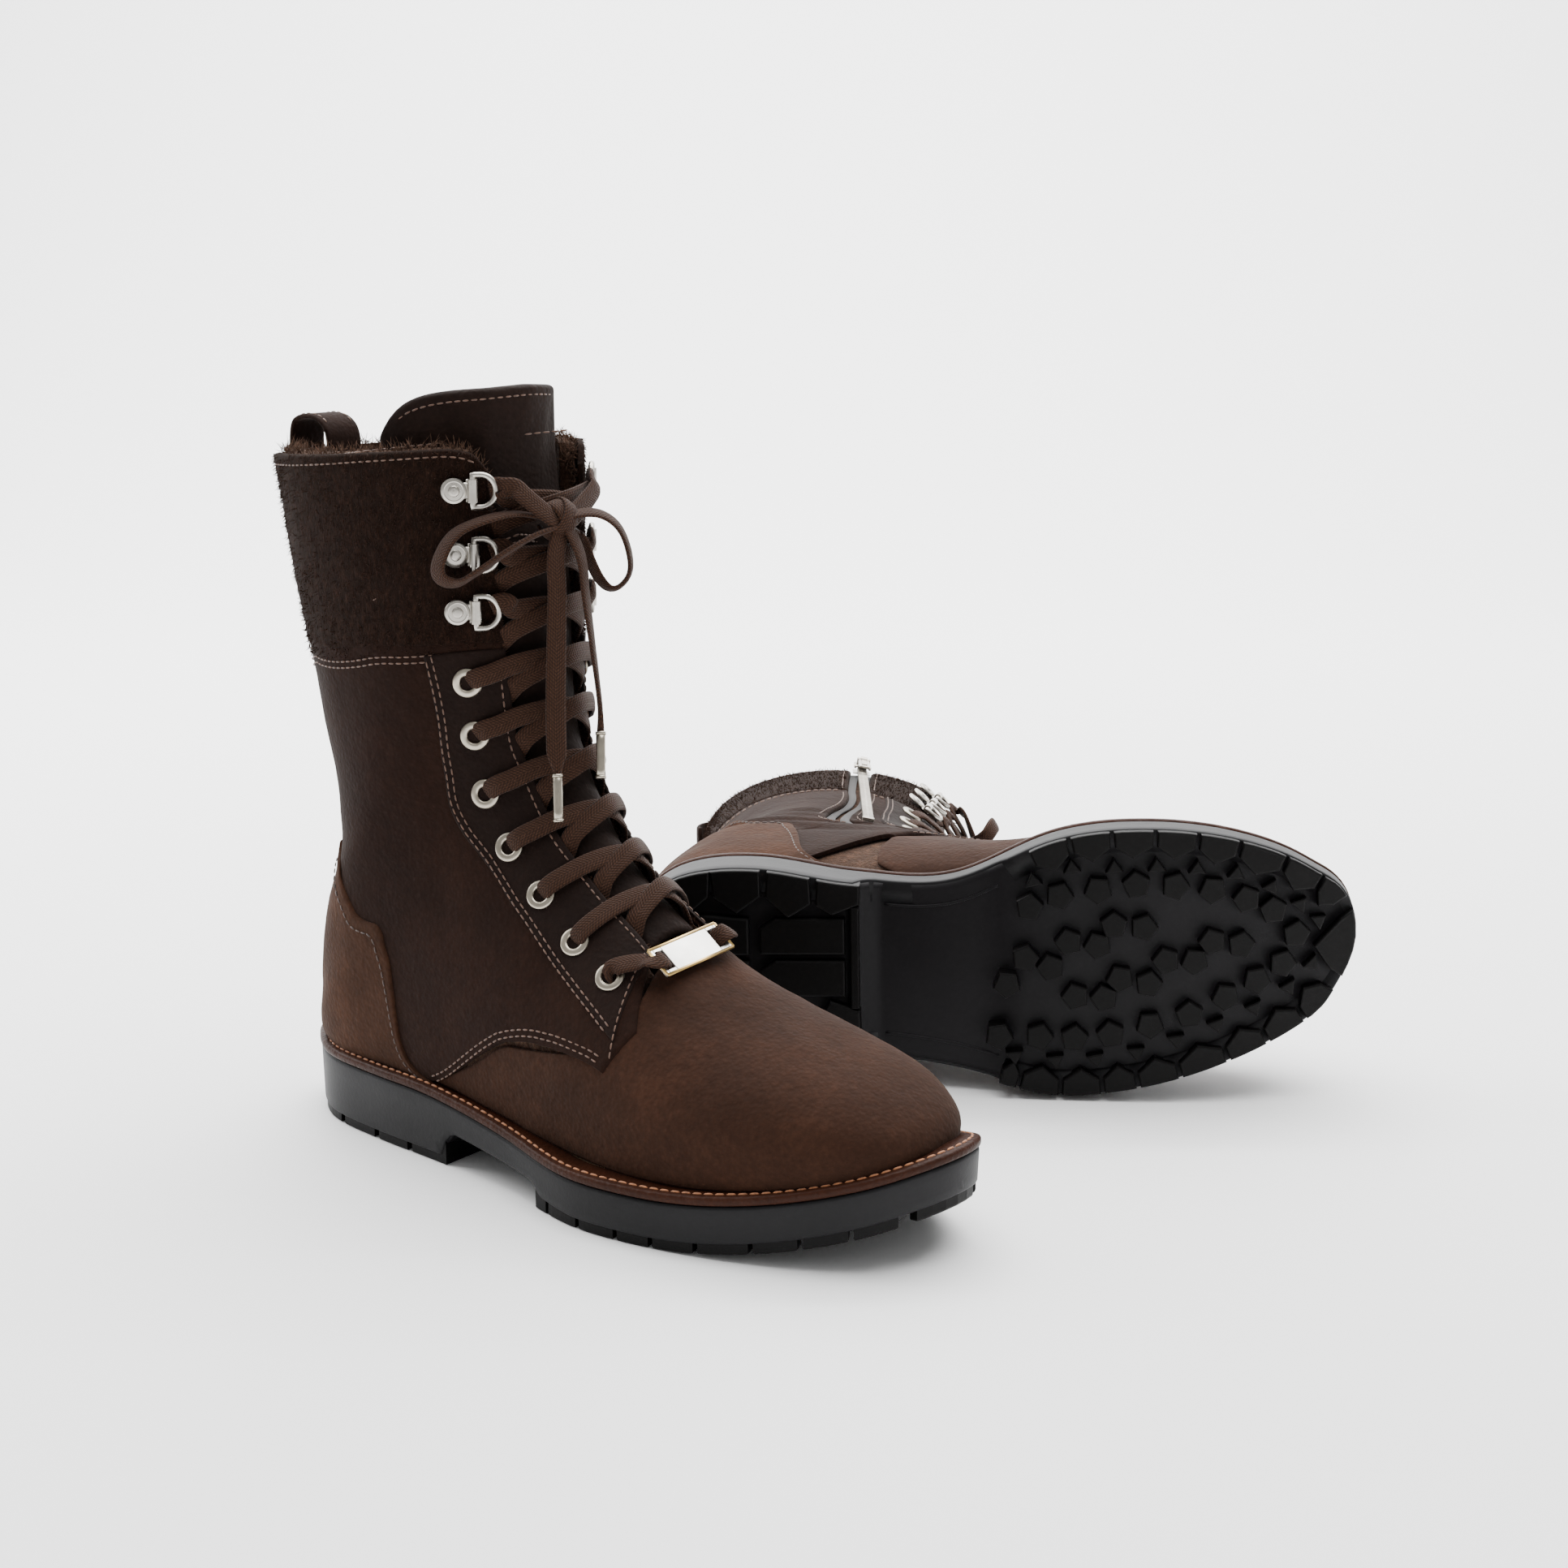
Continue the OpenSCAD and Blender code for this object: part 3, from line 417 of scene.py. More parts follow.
def edge_samples(n, width, r=1.2):
    """0..1 with extra samples within r mm of both ends."""
    e = np.array([0, .04, .15, .35, .65, 1.0]) * r / max(width, 4 * r)
    return np.concatenate([e, np.linspace(e[-1], 1 - e[-1], n)[1:-1], 1 - e[::-1]])


def patch(name, b, tp, nu, nv, low, high, mat, body, width=(60, 60), r=1.2, shift=None, **kw):
    """A closed piece of leather on the boot's surface, with rounded edges.
    tp(u, v) gives t and p; low and high are offsets from the surface; shift(P, N, t, p) adds relief."""
    u, v = edge_samples(nu, width[0], r), edge_samples(nv, width[1], r)
    U, V = np.meshgrid(u, v)
    t, p = tp(U, V)
    du = np.minimum(U, 1 - U) * width[0] / r
    dv = np.minimum(V, 1 - V) * width[1] / r
    e = np.clip(np.minimum(du, dv), 0, 1)
    prof = np.sqrt(np.clip(1 - (1 - e) ** 2, 0, 1))
    lo = low(t, p) if callable(low) else np.full_like(t, low)
    hi = high(t, p) if callable(high) else np.full_like(t, high)
    N, P0 = normal(b, t, p), base(b, t, p)
    off = lo + (hi - lo) * (.25 + .75 * prof)
    if shift is not None:
        off = off + shift(P0, t, p) * prof
    top = P0 + N * off[..., None]
    bot = P0 + N * lo[..., None]
    n, m = t.shape
    turned = (p[n // 2, 1] > p[n // 2, 0])
    k = n * m
    f = grid_faces(n, m, 0, not turned) + grid_faces(n, m, k, turned)
    rf = rim_faces(n, m, k)
    f += [tuple(reversed(q)) for q in rf] if not turned else rf
    f = [tuple(reversed(q)) for q in f]
    return make(name, np.concatenate([top.reshape(-1, 3), bot.reshape(-1, 3)]), f, mat, body, b, **kw)


def spline(ctrl, n):
    """Catmull-Rom through the control points, n samples, any number of columns."""
    c = np.asarray(ctrl, float)
    c = np.concatenate([[2 * c[0] - c[1]], c, [2 * c[-1] - c[-2]]])
    s = np.linspace(0, len(c) - 3 - 1e-9, n)
    i = s.astype(int)
    f = (s - i)[:, None]
    p0, p1, p2, p3 = c[i], c[i + 1], c[i + 2], c[i + 3]
    return .5 * (2 * p1 + (p2 - p0) * f + (2 * p0 - 5 * p1 + 4 * p2 - p3) * f ** 2
                 + (3 * p1 - p0 - 3 * p2 + p3) * f ** 3)


def even(P, step, extra=None):
    """Resamples a path evenly by length; extra columns go along."""
    d = np.concatenate([[0], np.cumsum(np.linalg.norm(np.diff(P, axis=0), axis=1))])
    n = max(2, int(round(d[-1] / step)) + 1)
    s = np.linspace(0, d[-1], n)
    res = np.stack([np.interp(s, d, P[:, k]) for k in range(3)], 1)
    if extra is None:
        return res
    return res, np.stack([np.interp(s, d, extra[:, k]) for k in range(extra.shape[1])], 1)


def surf_path(b, ctrl, off=0.0, n=300, side=0.0):
    """A path on the surface through [t, p] points, moved sideways by side mm. Returns points and normals."""
    tp = spline(ctrl, n)
    P, N = on(b, tp[:, 0], tp[:, 1], np.full(n, off)), normal(b, tp[:, 0], tp[:, 1])
    D = unit(np.gradient(P, axis=0))
    return P + np.cross(D, N) * side, N


def sweep(P, N, section):
    """Sweeps a closed 2-D section along P: x across the path, y along its normal."""
    D = unit(np.gradient(P, axis=0))
    S = unit(np.cross(D, N))
    Nn = np.cross(S, D)
    sec = np.asarray(section, float)
    m, n = (sec.shape[-2], len(P))
    secs = np.broadcast_to(sec, (n, m, 2))
    V = P[:, None, :] + S[:, None, :] * secs[..., :1] + Nn[:, None, :] * secs[..., 1:]
    f = [(i * m + j, i * m + (j + 1) % m, (i + 1) * m + (j + 1) % m, (i + 1) * m + j) for i in range(n - 1)
         for j in range(m)]
    f += [tuple(range(m - 1, -1, -1)), tuple((n - 1) * m + j for j in range(m))]
    s = np.concatenate([[0], np.cumsum(np.linalg.norm(np.diff(P, axis=0), axis=1))])
    uv = np.stack([np.broadcast_to(s[:, None], (n, m)), np.broadcast_to(secs[..., 0], (n, m))],
                  -1).reshape(-1, 2)
    return V.reshape(-1, 3), f, uv


def oval(w, h, m=14, power=2.6):
    a = np.linspace(0, 2 * np.pi, m, endpoint=False)
    c, s = np.cos(a), np.sin(a)
    return np.stack([w / 2 * np.sign(c) * np.abs(c) ** (2 / power),
                     h / 2 * np.sign(s) * np.abs(s) ** (2 / power)], 1)


def stitches(heap, P, N, pitch=3.1, length=2.3, r=.3, sink=.05):
    """A row of sewn stitches along a path."""
    P, N = even(P, pitch / 4, N)
    N = unit(N)
    d = np.concatenate([[0], np.cumsum(np.linalg.norm(np.diff(P, axis=0), axis=1))])
    a = np.linspace(0, 2 * np.pi, 6, endpoint=False)
    shape = [(-.5, .35), (-.32, .9), (0, 1.0), (.32, .9), (.5, .35)]
    faces = [(i * 6 + j, i * 6 + (j + 1) % 6, (i + 1) * 6 + (j + 1) % 6, (i + 1) * 6 + j) for i in range(4)
             for j in range(6)]
    faces += [tuple(range(5, -1, -1)), tuple(24 + j for j in range(6))]
    for s in np.arange(pitch / 2, d[-1] - pitch / 2, pitch):
        c = np.array([np.interp(s, d, P[:, k]) for k in range(3)])
        nn = unit(np.array([np.interp(s, d, N[:, k]) for k in range(3)]))
        e = .4
        t = unit(np.array([np.interp(s + e, d, P[:, k]) - np.interp(s - e, d, P[:, k]) for k in range(3)]))
        w = unit(np.cross(t, nn))
        V = [c + t * length * x + (np.cos(a)[:, None] * w + np.sin(a)[:, None] * nn) * r * q
             + nn * (-sink + .18 * (q - 1)) for x, q in shape]
        heap.add(np.concatenate(V), faces)


def lathe(heap, profile, centre, axis, m=28):
    """Turns a closed profile [(radius, height)] about an axis."""
    axis = unit(np.asarray(axis, float))
    u = unit(np.cross(axis, [0.3, 0.9, 0.1] if abs(axis[1]) < .9 else [1, 0, 0]))
    w = np.cross(axis, u)
    a = np.linspace(0, 2 * np.pi, m, endpoint=False)
    V = [centre + axis * h + r * (np.cos(x) * u + np.sin(x) * w) for x in a for r, h in profile]
    k = len(profile)
    f = [(i * k + j, i * k + (j + 1) % k, ((i + 1) % m) * k + (j + 1) % k, ((i + 1) % m) * k + j)
         for i in range(m) for j in range(k)]
    heap.add(V, f)


def block(heap, frame_axes, origin, lo, hi, r=.25):
    """A box with chamfered edges in a local frame (three unit axes as rows)."""
    lo, hi = np.asarray(lo, float), np.asarray(hi, float)
    r = min(r, *(hi - lo) / 2.2)
    V, idx = [], {}
    for sx in (0, 1):
        for sy in (0, 1):
            for sz in (0, 1):
                c = np.where([sx, sy, sz], hi, lo)
                inward = np.where([sx, sy, sz], -1.0, 1.0) * r
                for k in range(3):
                    d = inward.copy()
                    d[k] = 0
                    idx[sx, sy, sz, k] = len(V)
                    V.append(c + d)
    F = []
    for k in range(3):
        a, b_ = [i for i in range(3) if i != k]
        for s in (0, 1):
            q = []
            for sa, sb in ((0, 0), (1, 0), (1, 1), (0, 1)):
                key = [0, 0, 0]
                key[k], key[a], key[b_] = s, sa, sb
                q.append(idx[(*key, k)])
            F.append(q if (s == 1) == (k != 1) else q[::-1])
    for k in range(3):
        a, b_ = [i for i in range(3) if i != k]
        for sa in (0, 1):
            for sb in (0, 1):
                k0, k1 = [0, 0, 0], [0, 0, 0]
                k0[k], k0[a], k0[b_] = 0, sa, sb
                k1[k], k1[a], k1[b_] = 1, sa, sb
                q = [idx[(*k0, a)], idx[(*k1, a)], idx[(*k1, b_)], idx[(*k0, b_)]]
                F.append(q if (sa == sb) == (k != 1) else q[::-1])
    for sx in (0, 1):
        for sy in (0, 1):
            for sz in (0, 1):
                q = [idx[sx, sy, sz, k] for k in range(3)]
                F.append(q if (sx + sy + sz) % 2 else q[::-1])
    A = np.asarray(frame_axes, float)
    heap.add(np.asarray(origin) + np.array(V) @ A, F)
# ---------------------------------------------------------------- materials
def nodes_of(name):
    m = bpy.data.materials.new(name)
    m.use_nodes = True
    nt = m.node_tree
    return m, nt, nt.nodes["Principled BSDF"]


def add(nt, kind, **kw):
    n = nt.nodes.new(kind)
    for k, v in kw.items():
        if k in n.inputs.keys():
            n.inputs[k].default_value = v
        else:
            setattr(n, k, v)
    return n


def coords(nt, scale=(1, 1, 1)):
    tc = add(nt, "ShaderNodeTexCoord")
    mp = add(nt, "ShaderNodeMapping")
    mp.inputs["Scale"].default_value = scale
    nt.links.new(tc.outputs["Object"], mp.inputs["Vector"])
    return mp.outputs["Vector"]


def noise(nt, vec, scale, detail=4, rough=.55):
    n = add(nt, "ShaderNodeTexNoise", Scale=scale, Detail=detail, Roughness=rough)
    nt.links.new(vec, n.inputs["Vector"])
    return n.outputs["Fac"]


def ramp(nt, fac, stops):
    r = add(nt, "ShaderNodeValToRGB")
    while len(r.color_ramp.elements) < len(stops):
        r.color_ramp.elements.new(.5)
    for e, (pos, col) in zip(r.color_ramp.elements, stops):
        e.position, e.color = pos, (*col, 1)
    nt.links.new(fac, r.inputs["Fac"])
    return r.outputs["Color"]


def maths(nt, op, a, b):
    m = add(nt, "ShaderNodeMath", operation=op)
    for k, x in enumerate((a, b)):
        if isinstance(x, (int, float)):
            m.inputs[k].default_value = x
        else:
            nt.links.new(x, m.inputs[k])
    return m.outputs[0]


def bump(nt, bsdf, height, strength, distance):
    b = add(nt, "ShaderNodeBump", Strength=strength, Distance=distance)
    nt.links.new(height, b.inputs["Height"])
    nt.links.new(b.outputs["Normal"], bsdf.inputs["Normal"])


def scaled(c, f):
    return tuple(x * f for x in c)


def nubuck(name, c, sheen=.35, grain=1.0, nap=.35, rough=.78):
    """Soft brushed leather: cloudy nap, fine pores, a little sheen."""
    m, nt, bs = nodes_of(name)
    v = coords(nt)
    cloud = noise(nt, v, 34, 5, .6)
    fine = noise(nt, v, 420, 3, .6)
    mix = maths(nt, "ADD", maths(nt, "MULTIPLY", cloud, .62), maths(nt, "MULTIPLY", fine, .38))
    col = ramp(nt, mix, [(.3, scaled(c, 1 - nap)), (.52, c), (.74, scaled(c, 1 + nap * 1.7))])
    nt.links.new(col, bs.inputs["Base Color"])
    bs.inputs["Roughness"].default_value = rough
    bs.inputs["Sheen Weight"].default_value = sheen * .45
    bs.inputs["Sheen Roughness"].default_value = .45
    bs.inputs["Sheen Tint"].default_value = (1, .86, .74, 1)
    bs.inputs["Specular IOR Level"].default_value = .12
    vor = add(nt, "ShaderNodeTexVoronoi", Scale=620)
    nt.links.new(v, vor.inputs["Vector"])
    wr = noise(nt, v, 95, 5, .62)
    h = maths(nt, "ADD", maths(nt, "MULTIPLY", wr, .9), maths(nt, "MULTIPLY", vor.outputs["Distance"], .35))
    h = maths(nt, "ADD", h, maths(nt, "MULTIPLY", fine, .5))
    bump(nt, bs, h, .42 * grain, .0011)
    return m


def woolly(name, c, stretch=(1, 1, .4), scale=620, depth=.0016, sheen=.12):
    """Coarse hairy suede."""
    m, nt, bs = nodes_of(name)
    v = coords(nt, scale=stretch)
    a = noise(nt, v, scale, 6, .68)
    bb = noise(nt, v, scale * 3.1, 4, .6)
    mix = maths(nt, "ADD", maths(nt, "MULTIPLY", a, .65), maths(nt, "MULTIPLY", bb, .35))
    nt.links.new(ramp(nt, mix, [(.34, scaled(c, .4)), (.52, c), (.68, scaled(c, 2.3))]),
                 bs.inputs["Base Color"])
    bs.inputs["Roughness"].default_value = .95
    bs.inputs["Sheen Weight"].default_value = sheen
    bs.inputs["Sheen Roughness"].default_value = .5
    bs.inputs["Sheen Tint"].default_value = (1, .87, .76, 1)
    bs.inputs["Specular IOR Level"].default_value = .08
    bump(nt, bs, mix, .85, depth)
    return m


def rubber(name, c, c2, spec=.4):
    m, nt, bs = nodes_of(name)
    v = coords(nt)
    a = noise(nt, v, 26, 5, .6)
    nt.links.new(ramp(nt, a, [(.32, c), (.7, c2)]), bs.inputs["Base Color"])
    bs.inputs["Roughness"].default_value = .5
    bs.inputs["Specular IOR Level"].default_value = spec
    b2 = noise(nt, v, 700, 3, .6)
    bump(nt, bs, maths(nt, "ADD", maths(nt, "MULTIPLY", a, .3), maths(nt, "MULTIPLY", b2, .5)), .25, .0006)
    return m


def metal(name, c, rough=.3):
    m, nt, bs = nodes_of(name)
    v = coords(nt)
    a = noise(nt, v, 90, 4, .6)
    nt.links.new(ramp(nt, a, [(.3, scaled(c, .8)), (.7, scaled(c, 1.1))]), bs.inputs["Base Color"])
    bs.inputs["Metallic"].default_value = 1
    rr = add(nt, "ShaderNodeMapRange")
    rr.inputs["To Min"].default_value = rough * .8
    rr.inputs["To Max"].default_value = rough * 1.35
    nt.links.new(noise(nt, v, 420, 3, .6), rr.inputs["Value"])
    nt.links.new(rr.outputs["Result"], bs.inputs["Roughness"])
    return m


def thread(name, c, rough=.6):
    m, nt, bs = nodes_of(name)
    v = coords(nt)
    a = noise(nt, v, 900, 2, .5)
    nt.links.new(ramp(nt, a, [(.3, scaled(c, .65)), (.7, scaled(c, 1.25))]), bs.inputs["Base Color"])
    bs.inputs["Roughness"].default_value = rough
    bs.inputs["Sheen Weight"].default_value = .2
    return m


def braid(name, dark, light, pitch=1.25, across=.85):
    """Flat braided lace: slanted cells along the ribbon's UV, which is in millimetres."""
    m, nt, bs = nodes_of(name)
    uv = add(nt, "ShaderNodeTexCoord").outputs["UV"]
    sep = add(nt, "ShaderNodeSeparateXYZ")
    nt.links.new(uv, sep.inputs[0])
    s, w = sep.outputs[0], sep.outputs[1]
    k = 2 * math.pi / pitch
    aw = maths(nt, "ABSOLUTE", w, 0.0)
    zig = maths(nt, "SINE", maths(nt, "MULTIPLY", maths(nt, "ADD", s, maths(nt, "MULTIPLY", aw, .9)), k), 0.0)
    rows = maths(nt, "SINE", maths(nt, "MULTIPLY", w, 2 * math.pi / across), 0.0)
    h = maths(nt, "ADD", maths(nt, "MULTIPLY", zig, .55), maths(nt, "MULTIPLY", rows, .45))
    h = maths(nt, "ADD", maths(nt, "MULTIPLY", h, .35), .5)
    fuzz = noise(nt, coords(nt), 1400, 2, .6)
    hh = maths(nt, "ADD", maths(nt, "MULTIPLY", h, .75), maths(nt, "MULTIPLY", fuzz, .3))
    nt.links.new(ramp(nt, hh, [(.2, scaled(dark, .6)), (.5, dark), (.85, light)]), bs.inputs["Base Color"])
    bs.inputs["Roughness"].default_value = .75
    bs.inputs["Sheen Weight"].default_value = .05
    bs.inputs["Specular IOR Level"].default_value = .12
    bump(nt, bs, hh, .8, .0006)
    return m


QUARTER = nubuck("nubuck_quarter", (.0125, .0046, .0024), nap=.34, sheen=.02, rough=.88)
# The vamp takes the quarter's leather painted lighter: painted light where the top light falls on it.
VAMP_PAINTED_LIGHT = nubuck("nubuck_vamp", (.0275, .0111, .0058), nap=.38, grain=1.15, sheen=.05, rough=.88)
# The heel patch takes the quarter's leather painted lighter: painted light where the rim light falls on the back.
HEEL_PATCH_PAINTED_LIGHT = nubuck("nubuck_heel", (.037, .0153, .0077), nap=.42, grain=1.1, sheen=.04, rough=.88)
# The facings take the quarter's leather painted darker: painted shade.
FACING_PAINTED_SHADE = nubuck("leather_facing", (.0080, .0033, .0020), sheen=.02, nap=.3, rough=.8)
TONGUEM = nubuck("tongue_leather", (.0092, .0040, .0025), sheen=.03, nap=.35)
CUFF = woolly("cuff_suede", (.0120, .0052, .0031), sheen=.02)
FLEECE = woolly("fleece", (.048, .0245, .0155), (1, 1, 1), 260, .003, .1)
FUR = woolly("fur_strands", (.070, .037, .0235), (1, 1, 1), 300, .0005, .05)
CUFFHAIR = woolly("cuff_hairs", (.0185, .0080, .0046), (1, 1, 1), 900, .0003, .03)
RUBBER = rubber("rubber_side", (.0032, .0030, .0036), (.0058, .0054, .0064), .2)
TREAD = rubber("rubber_lug", (.0014, .0012, .0012), (.0024, .0020, .0020), .12)
TREADBASE = rubber("rubber_base", (.0044, .0038, .0046), (.0072, .0064, .0076), .16)
WELTM = nubuck("welt_leather", (.027, .0074, .0026), sheen=.0, nap=.3, rough=.5)
LIGHTSTITCH = thread("thread_tan", (.105, .050, .028))
DARKSTITCH = thread("thread_brown", (.042, .020, .012))
WELTSTITCH = thread("thread_welt", (.34, .125, .042))
BRASS = metal("pale_brass", (.44, .395, .32), .3)
GOLD = metal("gold_edge", (.62, .42, .16), .3)
STEEL = metal("nickel", (.52, .49, .44), .27)
PLATE = metal("polished_plate", (.70, .68, .64), .3)
ZIPMETAL = metal("zip_metal", (.36, .33, .29), .36)
ZIPTAPE = thread("zip_tape_cloth", (.008, .0052, .0045), .85)
LACE = braid("lace_braid", (.0245, .0100, .0052), (.060, .0265, .0140))
BOARD = nubuck("board", (.22, .15, .09), sheen=0, nap=.15)
EYELET_HOLE_PAINTED_SHADE = rubber("hole_dark", (.002, .0018, .0018), (.003, .003, .003), .1)
# ---------------------------------------------------------------- seams, as in the CAD: (p, t) or (t, p)
CUFF_SEAM = [(-1, 18), (-.71, 17.75), (-.465, 16.95), (-.16, 15.4), (.16, 15.4), (.465, 16.95),
             (.71, 17.75), (1, 18)]
RIM = [(-1, 21), (-.725, 21), (-.425, 20.75), (-.24, 20.55), (-.18, 20.25), (-.155, 19.4),
       (.155, 19.4), (.18, 20.25), (.24, 20.55), (.425, 20.75), (.725, 21), (1, 21)]
VAMP_TOP = [(-1, 9.5), (-.985, 9.4), (-.84, 9.0), (-.69, 8.4), (-.6, 7.2), (-.5, 6.2), (-.3, 6.3), (0, 6.6),
            (.27, 6.75), (.4, 7.9), (.52, 9), (.6, 9.4), (.85, 8.9), (1, 8.3)]
OUTER_LOW = [(5.8, -.585), (6.1, -.58), (6.6, -.577), (7.4, -.6), (7.9, -.625), (8.3, -.665), (8.65, -.73),
             (8.9, -.8), (9.15, -.9), (9.4, -.99), (10, -.995)]
INNER_LOW = [(6.6, .27), (7.9, .39), (9, .51), (9.5, .6), (9.7, .8), (9.9, .99)]
FRONT = [(6, .19), (7.1, .178), (9, .172), (12.4, .16), (16, .165), (17.5, .16), (21, .16)]
FACING_BACK = [(6, .475), (7.95, .4), (10.2, .33), (13.45, .32), (16.4, .345), (17, .35)]
PATCH_FRONT = [(9.1, -1), (9.5, -.93), (10.4, -.7), (11, -.615), (11.95, -.55), (13.4, -.6), (14.6, -.7),
               (15.1, -.8)]
ZIP_HALF = .026


def soft(x, table, w):
    """The table's curve with its corners rounded over w."""
    return sum(lookup(x + w * k, table) for k in (-1, -.6, -.2, .2, .6, 1)) / 6


def grain(P, size, seed):
    """Smooth pseudo-random height field in -1..1, the same on every run."""
    rng = np.random.default_rng(seed)
    out = np.zeros(P.shape[:-1])
    for k in range(7):
        d = unit(rng.normal(size=3))
        w = 2 * math.pi / size * (.6 + .25 * k)
        out += np.sin(P @ d * w + rng.uniform(0, 6.28) + 1.3 * np.sin(P @ unit(rng.normal(size=3)) * w * .7))
    return out / 7


def creases(b, P, t, p):
    """Relief of the leather: soft unevenness, and the folds at the ankle."""
    h = .35 * grain(P, 46, 3 + b) + .12 * grain(P, 13, 5 + b)
    if b == 1:
        z = P[..., 2]
        for z0, amp, slope in ((92, 1.9, .12), (103, 1.0, -.1), (118, .7, .22), (82, .9, -.2)):
            d = z - z0 - slope * (P[..., 0] - 70) - 3 * np.sin(P[..., 0] / 17 + z0)
            h = h - amp * np.exp(-(d / 4.2) ** 2) * smooth((120 - P[..., 0])
                                                           / 50) + .5 * amp * np.exp(-((d - 8) / 6) ** 2)
    else:
        z = P[..., 2]
        for z0, amp in ((100, .55), (113, .4)):
            d = z - z0 - .25 * (P[..., 0] - 60) - 2.5 * np.sin(P[..., 0] / 19 + z0)
            h = h - amp * np.exp(-(d / 5) ** 2) * smooth((105 - P[..., 0]) / 40)
    return h


def uppers(b):
    s, body = SIDES[b], SIDES[b] + "_boot"
    fold = lambda P, t, p: creases(b, P, t, p)
    # vamp, in a lighter copy of the quarter's leather: painted light on its lit top
    patch(s + "_vamp_leather", b, lambda u, v: (lerp(.3, soft(lerp(-.99, .99, u), VAMP_TOP, .012), v ** .9),
                                                lerp(-.99, .99, u)),
          150, 64, -1.6, -.25, VAMP_PAINTED_LIGHT, body, (300, 110), 1.3, fold, nodes=[s + "_vamp"], slot="nubuck")
    # outer quarter: the whole outside from the throat to the cuff
    def outer(u, v):
        t = lerp(lerp(6.62, 6.04, np.clip(u / .55, 0, 1)) + np.maximum(u - .55, 0) * .6,
                 lookup(-lerp(.16, 1, u), CUFF_SEAM) + .2, v)
        return t, lerp(-lookup(t, FRONT), np.clip(soft(t, OUTER_LOW, .12), -.992, 0), u)
    patch(s + "_quarter_outside", b, outer, 90, 110, -1.35, .62, QUARTER, body, (130, 190), 1.4, fold,
          nodes=[s + "_quarter_lateral"], slot="nubuck")
    # inner quarter: in front of the zip and behind it
    z0 = ZIP_P - ZIP_HALF
    def inner_front(u, v):
        t = lerp(6.75, lookup(lerp(.16, ZIP_P, u), CUFF_SEAM) + .2, v)
        low = np.where(t < 11.15, soft(t, INNER_LOW, .2), z0)
        return t, lerp(lookup(t, FRONT), np.minimum(low, z0), u)
    q1 = patch(s + "_quarter_inside_front", b, inner_front, 40, 100, -1.35, .62, QUARTER, body, (45, 190),
               1.4, fold, slot="nubuck")
    def inner_back(u, v):
        t = lerp(9.4, lookup(lerp(ZIP_P, 1, u), CUFF_SEAM) + .2, v)
        p0 = np.where(t < 11.2, z0 + .004, ZIP_P + ZIP_HALF)
        return t, lerp(p0, np.maximum(np.minimum(soft(t, INNER_LOW, .1), .99) * (t < 9.95)
                                      + .993 * (t >= 9.95), p0 + .02), u)
    patch(s + "_quarter_inside_back", b, inner_back, 60, 90, -1.35, .62, QUARTER, body, (90, 120), 1.4, fold,
          nodes=[s + "_quarter_medial"], slot="nubuck")
    # facings, in a darker copy of the quarter's leather: painted shade
    for side, nm in ((-1, "lateral"), (1, "medial")):
        def face(u, v, side=side):
            t = lerp(lerp(6.66, 6.3, u) if side < 0 else 6.8, lookup(side * lerp(.16, .345, u), CUFF_SEAM), v)
            back = lookup(t, FACING_BACK)
            back = back if side < 0 else np.minimum(back, z0 - .012)
            return t, side * lerp(lookup(t, FRONT) - .004, back + .012, u)
        patch(f"{s}_facing_{nm}_leather", b, face, 26, 110, .3, 1.35, FACING_PAINTED_SHADE, body, (24, 150), .9, fold,
              nodes=[f"{s}_facing_{nm}"], slot="nubuck")
    # heel patch, round the back, in a lighter copy of the quarter's leather: painted light where the rim light falls
    for side, nm in ((-1, "outside"), (1, "inside")):
        def heel(u, v, side=side):
            t = lerp(9.15, 15.2, v)
            return t, side * lerp(-soft(t, PATCH_FRONT, .25), .998, u)
        patch(f"{s}_heel_patch_{nm}", b, heel, 44, 60, .2, 1.75, HEEL_PATCH_PAINTED_LIGHT, body, (60, 110), 1.1, fold,
              **({"nodes": [s + "_heel_patch"]} if side < 0 else {}), slot="nubuck")
    # cuff, in two parts beside the zip
    rim_t = lambda p: soft(p, RIM, .02)
    def cuff(u, v):
        q = lerp(.158, 2 - ZIP_P - ZIP_HALF, u)
        p = np.where(q <= 1, -q, 2 - q)
        return lerp(lookup(p, CUFF_SEAM) + .1, rim_t(p), v), p
    patch(s + "_cuff_suede", b, cuff, 170, 44, -1.3, .9, CUFF, body, (230, 90), 1.8, fold,
          nodes=[s + "_cuff"], slot="cuff_suede")
    def cuff2(u, v):
        p = lerp(ZIP_P - ZIP_HALF, .158, u)
        return lerp(lookup(p, CUFF_SEAM) + .1, rim_t(p), v), p
    patch(s + "_cuff_suede_front", b, cuff2, 40, 44, -1.3, .9, CUFF, body, (36, 90), 1.8, fold,
          slot="cuff_suede")
    # inner fleece: a dark backed skin just under the leather and the pile inside it
    def pile(P, t, p):
        return .9 * grain(P, 9, 21 + b) + .5 * grain(P, 4.2, 22 + b)
    for side, nm in ((-1, "outside"), (1, "inside")):
        def liner(u, v, side=side):
            p = side * lerp(.2, .999, u)
            return lerp(6.4, rim_t(p) + .02, v), p
        patch(f"{s}_lining_{nm}", b, liner, 60, 120, lambda t, p: np.full_like(t, -8.2), -2.3, FLEECE, body,
              (110, 230), 3.2,
              lambda P, t, p: .6 * pile(P, t, p) * smooth((t - 19.4) / 1),
              **({"nodes": [s + "_lining"]} if side < 0 else {}), slot="fleece")
    patch(s + "_lining_toe", b, lambda u, v: (lerp(1.4, 6.2, v), lerp(-.92, .92, u)), 40, 20, -8.2, -3.2,
          FLEECE, body, (200, 80), 2, slot="fleece")
